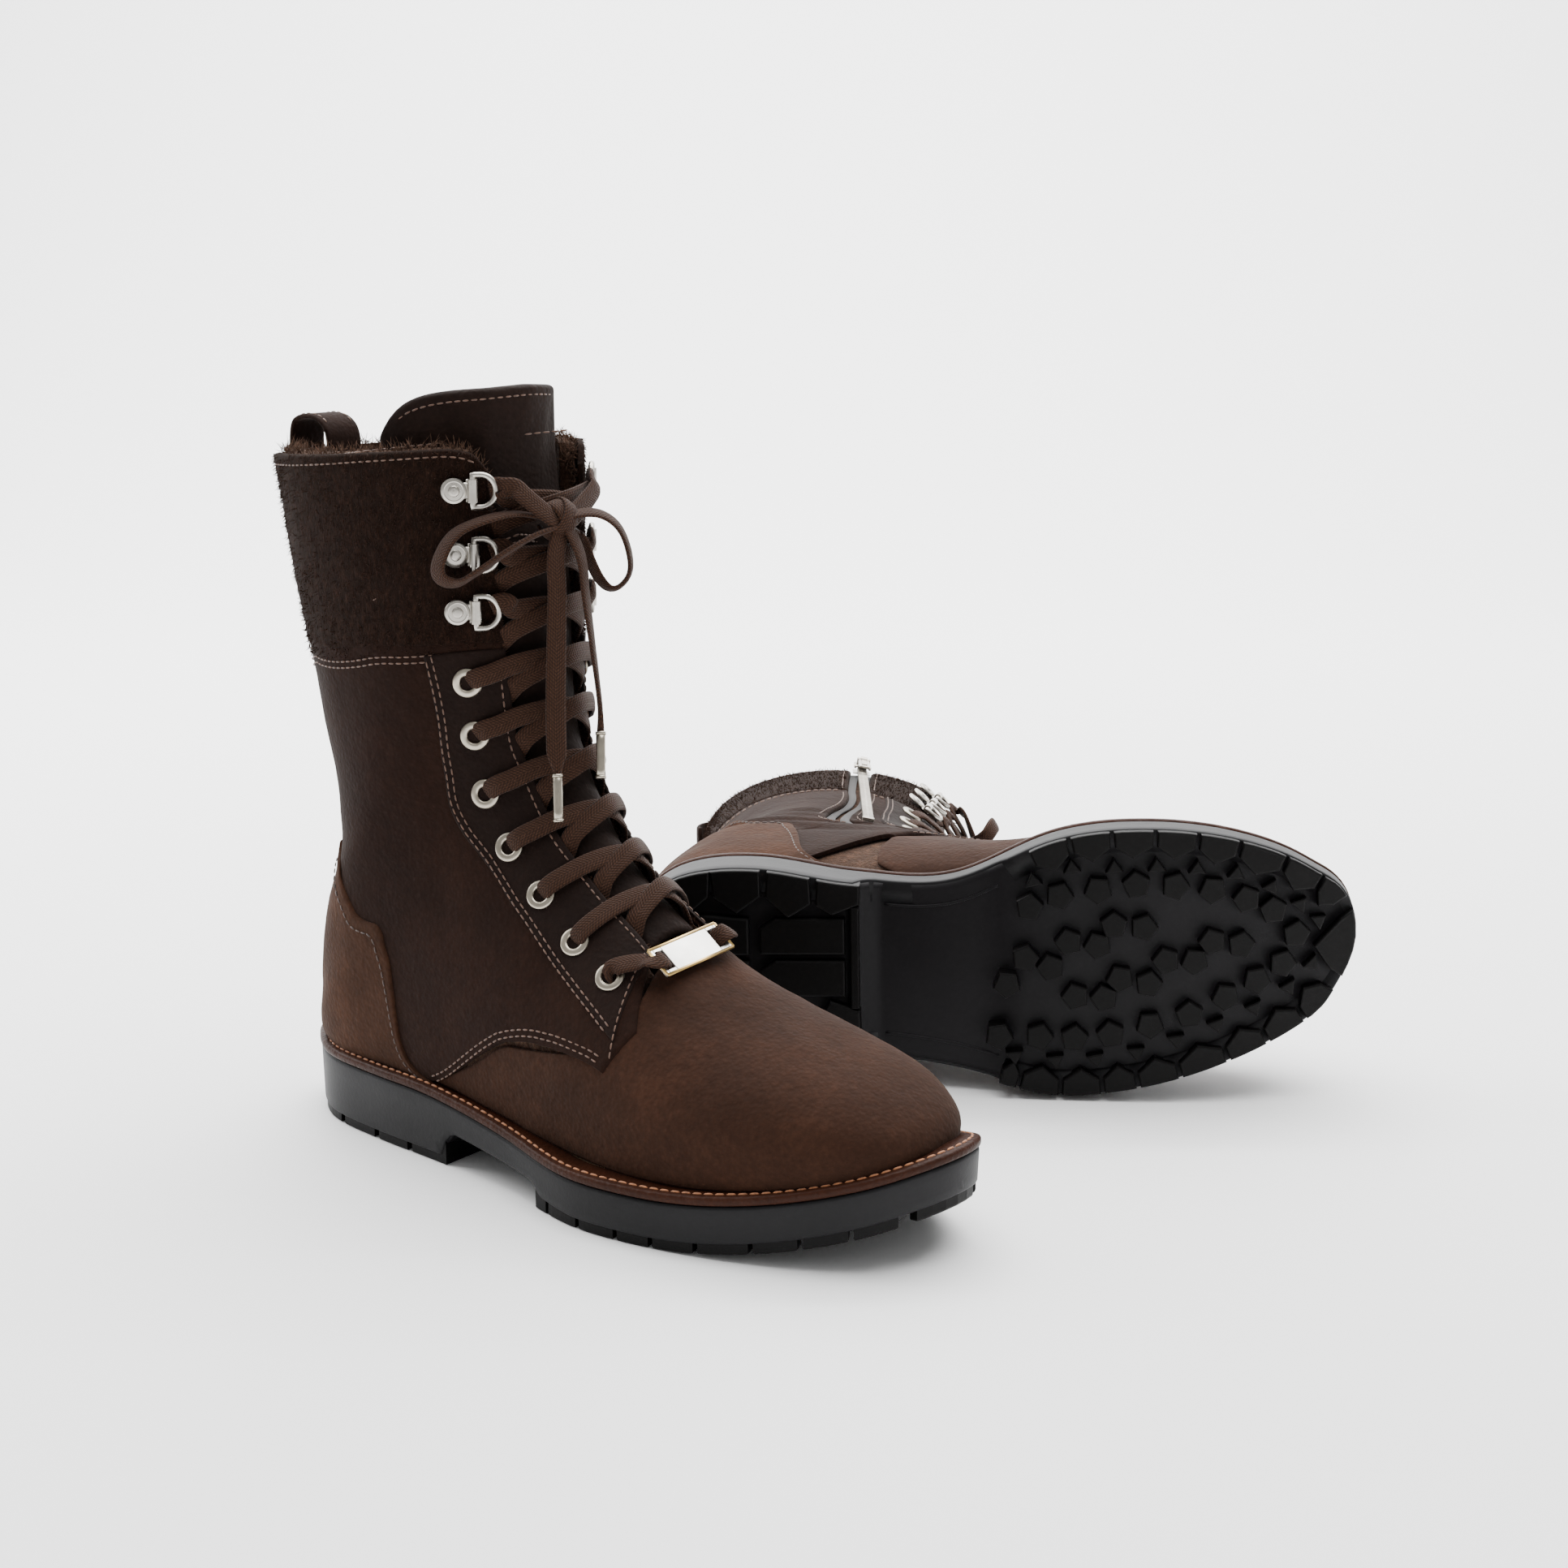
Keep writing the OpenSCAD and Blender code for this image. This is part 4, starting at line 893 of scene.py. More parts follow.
    # padded tongue with a stitched top edge
    def tong(u, v):
        x = 2 * u - 1
        half = lerp(.17, .44, smooth((v - .35) / .5))
        top = 22.2 - 1.1 * np.abs(x) ** 8 - .15 * np.abs(x)
        return lerp(6.75, top, v), x * half
    lean = lambda t, p: -2.6 - 10 * smooth((np.abs(p) - .13) / .14) - 7 * smooth((t - 15.5) / 5) * (1
            - smooth((np.abs(p) - .1) / .2))
    puff = lambda P, t, p: 1.5 * (1 - smooth(np.abs(p) / .16)) * (.55
            + .45 * np.cos((t - 7.6) * 4.4)) * smooth((16 - t) / 2) + .5 * grain(P, 30, 8)
    patch(s + "_tongue_padding", b, tong, 50, 130, lambda t, p: lean(t, p) - 3.6, lean, TONGUEM, body,
          (70, 200), 1.8, puff,
          nodes=[s + "_tongue"], slot="nubuck")
    # stitching
    light, dark = Heap(), Heap()
    def row(heap, ctrl, off, sides, **kw):
        for sd in sides:
            P, N = surf_path(b, ctrl, off, side=sd)
            stitches(heap, P, N, **kw)
    # facing's back edge, both sides
    for side in (-1, 1):
        lim = 16.35
        pts = [(t, side * (min(lookup(t, FACING_BACK), 1 if side < 0 else z0 - .018)))
               for t in np.linspace(6.5 if side < 0 else 7.0, lim, 18)]
        row(light, pts, 1.5, (-1.1, 1.1))
        pts = [(t, side * (lookup(t, FRONT) + .016)) for t in np.linspace(6.75, 15.3, 16)]
        row(light, pts, 1.5, (0,))
    # bottom edge of the outer quarter, and its corner
    low = [(t, min(soft(t, OUTER_LOW, .12) + .03, 0)) for t in np.linspace(6.45, 9.3, 16)]
    row(light, low, .75, (-1.1, 1.1))
    row(light, [(lerp(6.74, 6.2, q), lerp(-.2, -.55, q)) for q in np.linspace(0, 1, 10)], 1.45, (0,))
    # seam under the cuff, round the outside and the back
    for q0, q1_ in ((.16, 2 - ZIP_P - ZIP_HALF - .01),):
        q = np.linspace(q0, q1_, 44)
        p = np.where(q <= 1, -q, 2 - q)
        row(light, [(lookup(x, CUFF_SEAM) - .13, x) for x in p], .8, (-1.1, 1.1))
    row(light, [(lookup(x, CUFF_SEAM) - .13, x) for x in np.linspace(ZIP_P - ZIP_HALF - .01, .17, 8)], .8,
        (-1.1, 1.1))
    # rim
    q = np.linspace(.19, 2 - ZIP_P - ZIP_HALF - .012, 60)
    p = np.where(q <= 1, -q, 2 - q)
    row(light, [(rim_t(x) - .22, x) for x in p], 1.0, (0,))
    row(light, [(rim_t(x) - .22, x) for x in np.linspace(ZIP_P - ZIP_HALF - .012, .19, 10)], 1.0, (0,))
    # heel patch
    for side in (-1, 1):
        row(dark, [(t, side * (-soft(t, PATCH_FRONT, .25) + .022)) for t in np.linspace(9.5, 14.95, 20)],
            1.85, (0,))
    # tongue top
    xs = np.linspace(-.86, .28, 20)
    P = [(22.2 - 1.1 * abs(x) ** 8 - .15 * abs(x) - .3, .44 * x) for x in xs]
    tt, pp = np.array(P).T
    PP = on(b, tt, pp, lean(tt, pp) + .1)
    stitches(light, PP, normal(b, tt, pp))
    # zip edges
    for e in (-1, 1):
        row(light, [(t, ZIP_P + e * (ZIP_HALF + .016)) for t in np.linspace(11.4, 16.6, 14)], .75, (0,))
        row(light, [(t, ZIP_P + e * (ZIP_HALF + .016)) for t in np.linspace(17.1, 20.6, 10)], 1.0, (0,))
    # inner quarter's low edge
    row(light, [(t, soft(t, INNER_LOW, .2) - .03) for t in np.linspace(7.1, 9.3, 12)], .75, (-1.1, 1.1))
    light.make(s + "_stitching_light", LIGHTSTITCH, body, b, slot="nubuck")
    dark.make(s + "_stitching_dark", DARKSTITCH, body, b, slot="nubuck")
    # pull loop: folded leather strap over the rim
    pts = spline([(-5.2, 241), (-7.2, 246), (-7.4, 253), (-5.4, 258.6), (.5, 260.4), (7, 259.6),
                  (11.6, 256), (13, 250), (12.4, 241)], 60)
    P = np.stack([pts[:, 0], pts[:, 0] * 0, pts[:, 1]], 1)
    P = flop(b, P)
    N = unit(np.cross(np.gradient(P, axis=0), np.array([0, 1.0, 0])))
    V, f, uv = sweep(P, N, oval(16, 2.0, 20, 5))
    make(s + "_pull_loop_strap", V, f, QUARTER, body, b, nodes=[s + "_pull_loop"], slot="nubuck")
    loopst = Heap()
    for e in (-6, 6):
        stitches(loopst, P[12:46] + np.array([0, e, 0]) + N[12:46] * 1.05, N[12:46])
    loopst.make(s + "_pull_loop_stitches", LIGHTSTITCH, body, b, slot="nubuck")
# ---------------------------------------------------------------- sole
OUTLINE = [(0, 0, 0), (.006, 8.5, 8.5), (.035, 19.6, 19), (.1, 32.6, 32), (.2, 38, 35), (.33, 41, 29.3),
           (.46, 45.5, 29),
           (.6, 54.5, 46.2), (.72, 51, 50), (.84, 40.5, 45), (.94, 26, 32), (.985, 14, 16.5), (1, 0, 0)]


def edge_half(x, k):
    x = np.atleast_1d(np.asarray(x, float))
    f = np.clip(x / SOLE_L, 0, 1)
    A = np.array(OUTLINE)
    n = len(A)
    sl = np.array([(A[min(i + 1, n - 1), k] - A[max(i - 1, 0), k])
                   / (A[min(i + 1, n - 1), 0] - A[max(i - 1, 0), 0]) for i in range(n)])
    i = np.clip(np.searchsorted(A[:, 0], f, "right") - 1, 0, n - 2)
    h = A[i + 1, 0] - A[i, 0]
    u = (f - A[i, 0]) / h
    a, c = A[i, k], A[i + 1, k]
    y = (2 * u ** 3 - 3 * u * u + 1) * a + (u ** 3 - 2 * u * u + u) * sl[i] * h + (-2 * u ** 3
            + 3 * u * u) * c + (u ** 3 - u * u) * sl[i + 1] * h
    y = np.where(i == 0, a + (c - a) * np.sqrt(np.clip(u, 0, 1)), y)
    return np.where(i == n - 2, a + (c - a) * (1 - np.sqrt(np.clip(1 - u, 0, 1))), y)


def edge_y(x, side, grow=0.0):
    xc = np.clip(x, 0, SOLE_L)
    return side * np.maximum(edge_half(xc, 1 if side < 0 else 2) + grow,
                             .3) + TIP_Y * smooth((xc / SOLE_L - .94) / .06)


def tread(x):
    return 1.05 * spring(x)


def outline(n=160):
    """The sole's outline as an evenly spaced closed loop, counter-clockwise from the heel's back, and outward normals."""
    x = SOLE_L * (1 - np.cos(np.linspace(0, np.pi, 400))) / 2
    lo = np.stack([x, edge_y(x, -1)], 1)
    hi = np.stack([x[::-1], edge_y(x[::-1], 1)], 1)
    loop = np.concatenate([lo, hi[1:-1], lo[:1]])
    d = np.concatenate([[0], np.cumsum(np.linalg.norm(np.diff(loop, axis=0), axis=1))])
    s = np.linspace(0, d[-1], n + 1)[:-1]
    P = np.stack([np.interp(s, d, loop[:, k]) for k in (0, 1)], 1)
    for _ in range(2):
        P = (np.roll(P, 1, 0) + 2 * P + np.roll(P, -1, 0)) / 4
    D = np.roll(P, -1, 0) - np.roll(P, 1, 0)
    D /= np.linalg.norm(D, axis=1)[:, None]
    return P, np.stack([D[:, 1], -D[:, 0]], 1), D


LOOP, LOOP_N, LOOP_D = outline(240)


def ring_band(heap, profile):
    """Sweeps profile(x) -> [(out, z)] round the outline."""
    n = len(LOOP)
    V = []
    for i in range(n):
        for o, z in profile(LOOP[i, 0], LOOP[i, 1]):
            q = LOOP[i] + LOOP_N[i] * o
            V.append((q[0], q[1], z))
    m = len(V) // n
    f = [(i * m + j, ((i + 1) % n) * m + j, ((i + 1) % n) * m + (j + 1) % m, i * m + (j + 1) % m)
         for i in range(n) for j in range(m)]
    heap.add(V, f)


def prism(heap, pts, z0, z1, bevel=.6, taper=.0):
    """Upright lug from its plan outline; z0 is its free lower face, z1 where it meets the sole. z may be functions of x."""
    P = np.asarray(pts, float)
    area = .5 * np.sum(P[:, 0] * np.roll(P[:, 1], -1) - P[:, 1] * np.roll(P[:, 0], -1))
    if area < 0:
        P = P[::-1]
    n = len(P)
    e = np.roll(P, -1, 0) - P
    e /= np.linalg.norm(e, axis=1)[:, None]
    nrm = np.stack([e[:, 1], -e[:, 0]], 1)

    def inset(d):
        Q = []
        for i in range(n):
            n0, n1 = nrm[i - 1], nrm[i]
            k = n0 + n1
            k /= max(k @ n1, .35)
            Q.append(P[i] - k * d)
        return np.array(Q)
    f0 = z0 if callable(z0) else (lambda x: z0)
    f1 = z1 if callable(z1) else (lambda x: z1)
    rings = [(inset(-taper), f1, 0), (inset(0), f0, bevel), (inset(bevel * .35), f0, bevel * .3),
             (inset(bevel), f0, 0)]
    V = [(q[0], q[1], float(f(q[0])) + dz) for Q, f, dz in rings for q in Q]
    F = [(k * n + i, (k + 1) * n + i, (k + 1) * n + (i + 1) % n, k * n + (i + 1) % n) for k in range(3)
         for i in range(n)]
    F += [tuple(range(n - 1, -1, -1))[::-1], tuple(3 * n + i for i in range(n - 1, -1, -1))]
    heap.add(V, F)


INNER_PENT = [(163.6, 20), (175, 24.4), (189.6, 26.6), (204, 28.6), (218.8, 28), (233, 26), (246, 22),
              (256.4, 17.2), (265.6, 7.2),
              (260.4, -4), (250.4, -10), (238.4, -16), (224.6, -22.4), (209.6, -26.4), (194.6, -30),
              (180.8, -31.6), (167.4, -31), (152, -31)]
MID_PENT = [(178.4, 6.4), (189.4, 5), (195.6, 13), (207, 12), (215.4, -1), (226.4, -1.6), (233, 6),
            (244.2, 4.4), (198, -8), (209, -10),
            (181, -15), (192, -15.6), (171.6, -3.6), (162, 0), (155, -10.4)]
MED_TRI = [(165, 30.4), (179.6, 35.6), (195.6, 35.6), (211.6, 36), (227, 34.8), (242, 32.4), (255.6, 26.4),
           (267, 19), (274.4, 12)]
LAT_TRI = [(158, -39), (173.6, -40.6), (189, -40), (204.4, -37.4), (219.6, -32.6), (235, -27), (249.6, -21),
           (263, -13.6), (272, -5)]
MED_SLOT = [162, 178.4, 194.8, 211.4, 228, 245, 262, 277, 286.4]
LAT_SLOT = [158.6, 174.4, 190.6, 206.6, 222, 241, 254.4, 269, 281]


def edge_point(x, side):
    y = edge_y(np.array([x]), side)[0]
    return np.array([x, y])


def edge_frame(x, side):
    """Point on the outline and the inward direction there."""
    k = np.argmin(np.linalg.norm(LOOP - edge_point(x, side), axis=1))
    return LOOP[k], -LOOP_N[k]


def sole(b):
    s, body = SIDES[b], SIDES[b] + "_boot"
    low_body = lambda x: np.interp(x, [0, 97, 99, 103, 125, 150, 156, 172, 290],
                                   [5, 5, 9, 13, 11, 9, 6.5, 5.2, 5.2]) + tread(x)
    wall = Heap()
    # side wall and slab: a band round the outline closed by plates above and below
    def side_profile(x, y):
        top = float(feather(x)) - WELT_T - .05
        bot = float(low_body(x)) - (1.6 if x < 98 or x > 153 else 0)
        pts = [(-9, top), (-.4, top), (.25, top - .5), (.45, top - 1.4)]
        pts += [(.45 * (1 - k), lerp(top - 1.4, bot + .8, k)) for k in (.25, .5, .75, 1)]
        pts += [(-.3, bot + .2), (-.9, bot), (-9, bot)]
        return pts
    ring_band(wall, side_profile)
    wall.make(s + "_sole_wall", RUBBER, body, b, nodes=[s + "_outsole"], slot="rubber")
    # bottom skin of the slab
    nx, ny = 90, 26
    xs = SOLE_L * (1 - np.cos(np.linspace(.02, np.pi - .02, nx))) / 2
    V = []
    for x in xs:
        a, c = edge_y(np.array([x]), -1, -1.2)[0], edge_y(np.array([x]), 1, -1.2)[0]
        for k in range(ny):
            y = lerp(a, c, k / (ny - 1))
            V.append((x, y, float(low_body(x))))
    f = grid_faces(nx, ny, 0, False)
    V2 = [(x, y, float(feather(x)) - WELT_T - .4) for x, y, z in V]
    n = len(V)
    f = f + [tuple(reversed([i + n for i in q])) for q in grid_faces(nx, ny)] + rim_faces(nx, ny, n)
    make(s + "_sole_slab", V + V2, [tuple(reversed(q)) for q in f], TREADBASE, body, b, slot="rubber")
    lugs = Heap()
    up = lambda x: low_body(x) + .6
    ground = lambda x: tread(x)
    # edge blocks between the slots of the forefoot, the shape of a house with its roof inwards
    for side, slots, first in ((1, MED_SLOT, 156.5), (-1, LAT_SLOT, 152)):
        marks = [first] + slots
        cuts = [edge_frame(x, side) for x in marks]
        for i in range(len(marks) - 1):
            (A, na), (B, nb) = cuts[i], cuts[i + 1]
            d = unit(B - A)
            g = .85
            A2, B2 = A + d * g, B - d * g
            L = np.linalg.norm(B2 - A2)
            if L < 5:
                continue
            k0, k1 = (np.argmin(np.linalg.norm(LOOP - q, axis=1)) for q in (A2, B2))
            xs_ = np.linspace(A2[0], B2[0], 7)[1:-1]
            mid = [edge_point(x, side) for x in xs_] if i < len(marks) - 2 else [LOOP[int(k)]
                    for k in np.linspace(k0, k1, 5)[1:-1]]
            mid = [q - LOOP_N[np.argmin(np.linalg.norm(LOOP - q, axis=1))] * .5 for q in mid]
            A3, B3 = A2 + na * .5, B2 + nb * .5
            apex = (A + B) / 2 + (na + nb) / 2 * 10.8
            pts = [A3] + mid + [B3, B3 + nb * 6, apex, A3 + na * 6]
            prism(lugs, pts, ground, up, .7)
    # toe block
    T0, T1 = edge_frame(286.4, 1), edge_frame(281, -1)
    k0, k1 = (int(np.argmin(np.linalg.norm(LOOP - q[0], axis=1))) for q in (T1, T0))
    mid = [LOOP[k] - LOOP_N[k] * .5 for k in range(k0 + 2, k1 - 1, 2)]
    if len(mid) > 2:
        prism(lugs, mid + [mid[-1] + T0[1] * 6, (mid[0] + mid[-1]) / 2 + np.array([-13.5, 0]),
                           mid[0] + T1[1] * 6], ground, up, .7)
    # small triangles at the slots' forks, one corner to the slot
    for pts_, slots, side in ((MED_TRI, MED_SLOT, 1), (LAT_TRI, LAT_SLOT, -1)):
        for c, x in zip(pts_, slots):
            e, nrm = edge_frame(x, side)
            c = np.array(c, float)
            d = unit(e - c)
            w = np.array([-d[1], d[0]])
            prism(lugs, [c + d * 3.2, c + w * 3.4 - d * 2.0, c - w * 3.4 - d * 2.0], ground, up, .5)
    rng = random.Random(5)
    for ring_, r in ((INNER_PENT, 5.6), (MID_PENT, 5.5)):
        for x, y in ring_:
            a0 = math.atan2(y + 2, x - 208) + (0 if ring_ is INNER_PENT else rng.uniform(-1, 1))
            pts = [(x + r * math.cos(a0 + 2 * math.pi * k / 5), y + r * math.sin(a0 + 2 * math.pi * k / 5))
                   for k in range(5)]
            prism(lugs, pts, lambda x: ground(x) + .3, up, .55)
    # heel blocks
    hs = {1: [41.6, 61.6, 81.0], -1: [38.0, 58.5, 78.5]}
    g0 = lambda x: 0.0
    for side in (1, -1):
        marks = [17.0] + hs[side] + [98.6]
        for i in range(len(marks) - 1):
            xa, xb = marks[i] + (.9 if i else .9), marks[i + 1] - (.9 if i < len(marks) - 2 else 0)
            A, B = edge_frame(xa, side), edge_frame(xb, side)
            xs_ = np.linspace(xa, xb, 7)[1:-1]
            mid = [edge_point(x, side) for x in xs_]
            mid = [q - LOOP_N[np.argmin(np.linalg.norm(LOOP - q, axis=1))] * .5 for q in mid]
            in1 = 10.0
            apex = np.array([(xa + xb) / 2, edge_point((xa + xb) / 2, side)[1] - side * 17.5])
            A3, B3 = A[0] + A[1] * .5, B[0] + B[1] * .5
            if i == len(marks) - 2:
                inner = [np.array([98.6, side * 21.0]), np.array([(xa + xb) / 2 - 2, side * 17])]
            else:
                inner = [np.array([xb, B3[1] - side * in1]), apex]
            pts = [A3] + mid + [B3] + inner + [np.array([xa, A3[1] - side * in1])]
            prism(lugs, pts, g0, up, .7)
    # back of the heel
    k0 = int(np.argmin(np.linalg.norm(LOOP - edge_point(15.2, 1), axis=1)))
    k1 = int(np.argmin(np.linalg.norm(LOOP - edge_point(15.2, -1), axis=1)))
    idx = list(range(k0, len(LOOP), 3)) + list(range(0, k1 + 1, 3))
    mid = [LOOP[k] - LOOP_N[k] * .5 for k in idx]
    prism(lugs, mid + [np.array([17, -14]), np.array([21.5, -5]), np.array([21.5, 5]), np.array([17, 14])],
          g0, up, .7)
    # centre panels of the heel, plain
    for y0, y1 in ((1.2, 15.5), (-15.5, -1.2)):
        prism(lugs, [(60, y0), (93, y0), (93, y1), (66, y1), (60, y1 - 4)], lambda x: 1.2, up, .8)
        prism(lugs, [(26, y0), (56, y0), (56, y1), (40, y1 + (1.5 if y1 > 2 else 0)), (26, y1)] if y1 > 2 else
              [(26, y0), (40, y0 - 1.5), (56, y0), (56, y1), (26, y1)], g0, up, .8)
    prism(lugs, [(95.2, -20), (98.4, -20), (98.4, 20), (95.2, 20)], g0, up, .5)
    lugs.make(s + "_sole_lugs", TREAD, body, b, slot="rubber", smooth=False)
    # raised line along the waist
    line = Heap()
    for side in (1, -1):
        xs_ = np.linspace(108, 152, 24)
        P = np.stack([xs_, edge_y(xs_, side, -9.5), low_body(xs_)], 1)
        V, f_, uv = sweep(P, np.tile([0, 0, -1.0], (24, 1)), oval(1.1, 1.0, 8))
        line.add(V, f_)
    line.make(s + "_waist_lines", TREADBASE, body, b, slot="rubber")
    # welt: a rounded strip with its stitches on top
    welt = Heap()
    def welt_profile(x, y):
        z = float(feather(x))
        return [(-8.6, z - WELT_T + .1), (.1, z - WELT_T + .1), (.75, z - WELT_T + .5), (1.0, z - 2.0),
                (.95, z - 1.0), (.6, z - .3), (-.1, z - .02), (-8.6, z)]
    ring_band(welt, welt_profile)
    welt.make(s + "_welt_strip", WELTM, body, b, nodes=[s + "_welt"], slot="welt")
    st = Heap()
    P2 = np.concatenate([LOOP, LOOP[:2]])
    N2 = np.concatenate([LOOP_N, LOOP_N[:2]])
    P3 = np.concatenate([P2 - N2 * 1.9, feather(P2[:, :1]) + .12], 1)
    stitches(st, P3, np.tile([0, 0, 1.0], (len(P3), 1)), pitch=4.0, length=3.3, r=.48, sink=.12)
    st.make(s + "_welt_stitches", WELTSTITCH, body, b, slot="welt")
# ---------------------------------------------------------------- hardware
def surface_axes(b, t, p):
    n = normal(b, t, p)
    up = unit(base(b, t + .1, p) - base(b, t - .1, p))
    side = unit(np.cross(up, n))
    return np.array([side, np.cross(n, side), n])


def place(axes, origin, pts):
    return np.asarray(origin) + np.asarray(pts, float) @ np.asarray(axes)


KEEPER = (6.29, -.07)


def keeper(b):
    """Axes and centre of the lace keeper plate at the throat."""
    return surface_axes(b, *KEEPER), on(b, *KEEPER, 3.0)


def plate_with_holes(heap, axes, origin, outer, holes, z0, z1, bevel=.3):
    """Flat plate between z0 and z1 with a rounded outer edge; holes are rectangles (x0, y0, x1, y1) inside a rectangle."""
    x0, y0, x1, y1 = outer
    cuts = sorted({x0, x1, *[h[0] for h in holes], *[h[2] for h in holes]})
    for a, c in zip(cuts, cuts[1:]):
        inside = [h for h in holes if h[0] <= a and h[2] >= c]
        ys = [(y0, y1)] if not inside else [(y0, inside[0][1]), (inside[0][3], y1)]
        for ya, yb in ys:
            block(heap, axes, origin, (a - .02, ya, z0), (c + .02, yb, z1), bevel)


def hardware(b):
    s, body = SIDES[b], SIDES[b] + "_boot"
    # eyelets: wide flat rings with a rolled edge and a barrel, and a dark disc in each barrel as painted shade inside
    # the hole
    eyes, holes = Heap(), Heap()
    prof = [(2.5, -2.6), (2.5, .35), (2.8, .85), (3.4, 1.05), (4.5, .95), (5.05, .65), (5.2, .15),
            (5.0, -.1), (3.0, -.1), (3.0, -2.6)]
    for side in (-1, 1):
        for t, p in EYE:
            n = normal(b, t, side * p)
            c = on(b, t, side * p, 1.35)
            lathe(eyes, prof, c, n, 32)
            lathe(holes, [(0.02, -1.4), (2.6, -1.4), (2.6, -1.9), (0.02, -1.9)], c, n, 20)
    eyes.make(s + "_eyelet_rings", BRASS, body, b, nodes=[s + "_eyelets"], slot="metal")
    holes.make(s + "_eyelet_holes", EYELET_HOLE_PAINTED_SHADE, body, b, slot="metal")
    # ring plates: riveted disc, neck and folded bar; rings of round wire
    plates = Heap()
    for side, nm in ((-1, "lateral"), (1, "medial")):
        rings = Heap()
        for k in range(3):
            d, n = hinge_dir(b, side), hinge_normal(b, side)
            f = np.cross(d, n)
            f = f * (1 if f[0] > 0 else -1)
            c = hinge_point(b, side, k)
            ax = np.array([f, d, n]) if np.dot(np.cross(f, d), n) > 0 else np.array([f, -d, n])
            # disc
            disc = [(.02, -1.6), (4.3, -1.6), (4.45, -1.2), (4.2, -.65), (3.4, -.42), (3.1, -.55),
                    (1.95, -.5), (1.7, -.2), (1.1, -.05), (.02, 0)]
            o = place(ax, c, [[-6.3, 0, 0]])[0]
            lathe(plates, disc, o, n, 32)
            block(plates, ax, c, (-4.6, -2.8, -1.9), (.4, 2.8, -1.0), .3)
            block(plates, ax, c, (-2.2, -3.9, -1.75), (1.8, 3.9, -1.2), .25)
            # folded bar round the ring's leg
            sec = [(1.75 * math.cos(a), 1.75 * math.sin(a))
                   for a in np.linspace(0, 2 * np.pi, 16, endpoint=False)]
            line = place(ax, c, [[0, y, 0] for y in np.linspace(-3.9, 3.9, 8)])
            V, F, uv = sweep(line, np.tile(n, (8, 1)), sec)
            plates.add(V, F)
            # ring
            r, half, reach = 1.05, 5.5, 7.8
            arc = [(0, -half), (2.2, -half)]
            arc += [(2.6 + (reach - 2.6) * math.sin(a), -half * math.cos(a))
                    for a in np.linspace(.05, np.pi - .05, 22)]
            arc += [(2.2, half), (0, half)]
            pts = spline(arc, 70)
            pts = np.concatenate([pts, np.array([[0, y] for y in np.linspace(half, -half, 12)[1:-1]])])
            loop = place(ax, c, np.stack([pts[:, 0], pts[:, 1], pts[:, 0] * 0], 1))
            m = len(loop)
            D = unit(np.roll(loop, -1, 0) - np.roll(loop, 1, 0))
            S = np.cross(D, n)
            a = np.linspace(0, 2 * np.pi, 12, endpoint=False)
            V = loop[:, None] + r * (np.cos(a)[None, :, None] * S[:, None] + np.sin(a)[None, :, None] * n)
            F = [(i * 12 + j, i * 12 + (j + 1) % 12, ((i + 1) % m) * 12 + (j + 1) % 12,
                  ((i + 1) % m) * 12 + j) for i in range(m) for j in range(12)]
            rings.add(V.reshape(-1, 3), F)
        rings.make(f"{s}_rings_{nm}_wire", STEEL, f"{s}_rings_{nm}", b, nodes=[f"{s}_drings_{nm}"],
                   slot="metal")
    plates.make(s + "_ring_plates", STEEL, body, b, nodes=[s + "_dring_plates"], slot="metal", smooth=False)
    # lace keeper plate at the throat
    ax, o = keeper(b)
    pl, gold = Heap(), Heap()
    plate_with_holes(pl, ax, o, (-16, -5.75, 16, 5.75),
                     [(-14.2, -3.8, -10.6, 3.8), (10.6, -3.8, 14.2, 3.8)], -.6, .6, .2)
    pl.make(s + "_lace_keeper", PLATE, body, b, nodes=[s + "_lace_plate"], slot="metal", smooth=False)
    for e in (-1, 1):
        line = place(ax, o, [[-15.7, e * 5.5, .35], [0, e * 5.5, .35], [15.7, e * 5.5, .35]])
        V, F, uv = sweep(line, np.tile(ax[2], (3, 1)), oval(1.3, 1.0, 10, 2))
        gold.add(V, F)
        line = place(ax, o, [[e * 15.7, -5.5, .35], [e * 15.7, 0, .35], [e * 15.7, 5.5, .35]])
        V, F, uv = sweep(line, np.tile(ax[2], (3, 1)), oval(1.3, 1.0, 10, 2))
        gold.add(V, F)
    gold.make(s + "_lace_keeper_edges", GOLD, body, b, slot="metal")
    # zip
    zc, zd, zn, zf, zl = zip_frame(b)
    ax = np.array([zf, zd, zn])
    tape = Heap()
    for e in (-1, 1):
        n = 60
        t = np.linspace(11.2, 20.5, n)
        P = np.concatenate([on(b, t, ZIP_P + e * (ZIP_HALF + .012), np.full(n, -1.2)),
                            on(b, t, ZIP_P + e * .006, np.full(n, -.9)),
                            on(b, t, ZIP_P + e * .006, np.full(n, -1.6)),
                            on(b, t, ZIP_P + e * (ZIP_HALF + .012), np.full(n, -1.9))])
        F = [(k * n + i, k * n + i + 1, ((k + 1) % 4) * n + i + 1, ((k + 1) % 4) * n + i) for k in range(4)
             for i in range(n - 1)]
        F += [(0, n, 2 * n, 3 * n), (4 * n - 1, 3 * n - 1, 2 * n - 1, n - 1)]
        if e > 0:
            F = [tuple(reversed(q)) for q in F]
        tape.add(P, F)
    tape.make(s + "_zip_tape_cloth", ZIPTAPE, body, b, nodes=[s + "_zip_tape"], slot="webbing")
    teeth = Heap()
    y, k = .4, 0
    while y < zl - .5:
        e = 1 if k % 2 else -1
        block(teeth, ax, zc, (min(e * -.5, e * 2.3), y, -.75), (max(e * -.5, e * 2.3), y + .95, .75), .2)
        y += 1.3
        k += 1
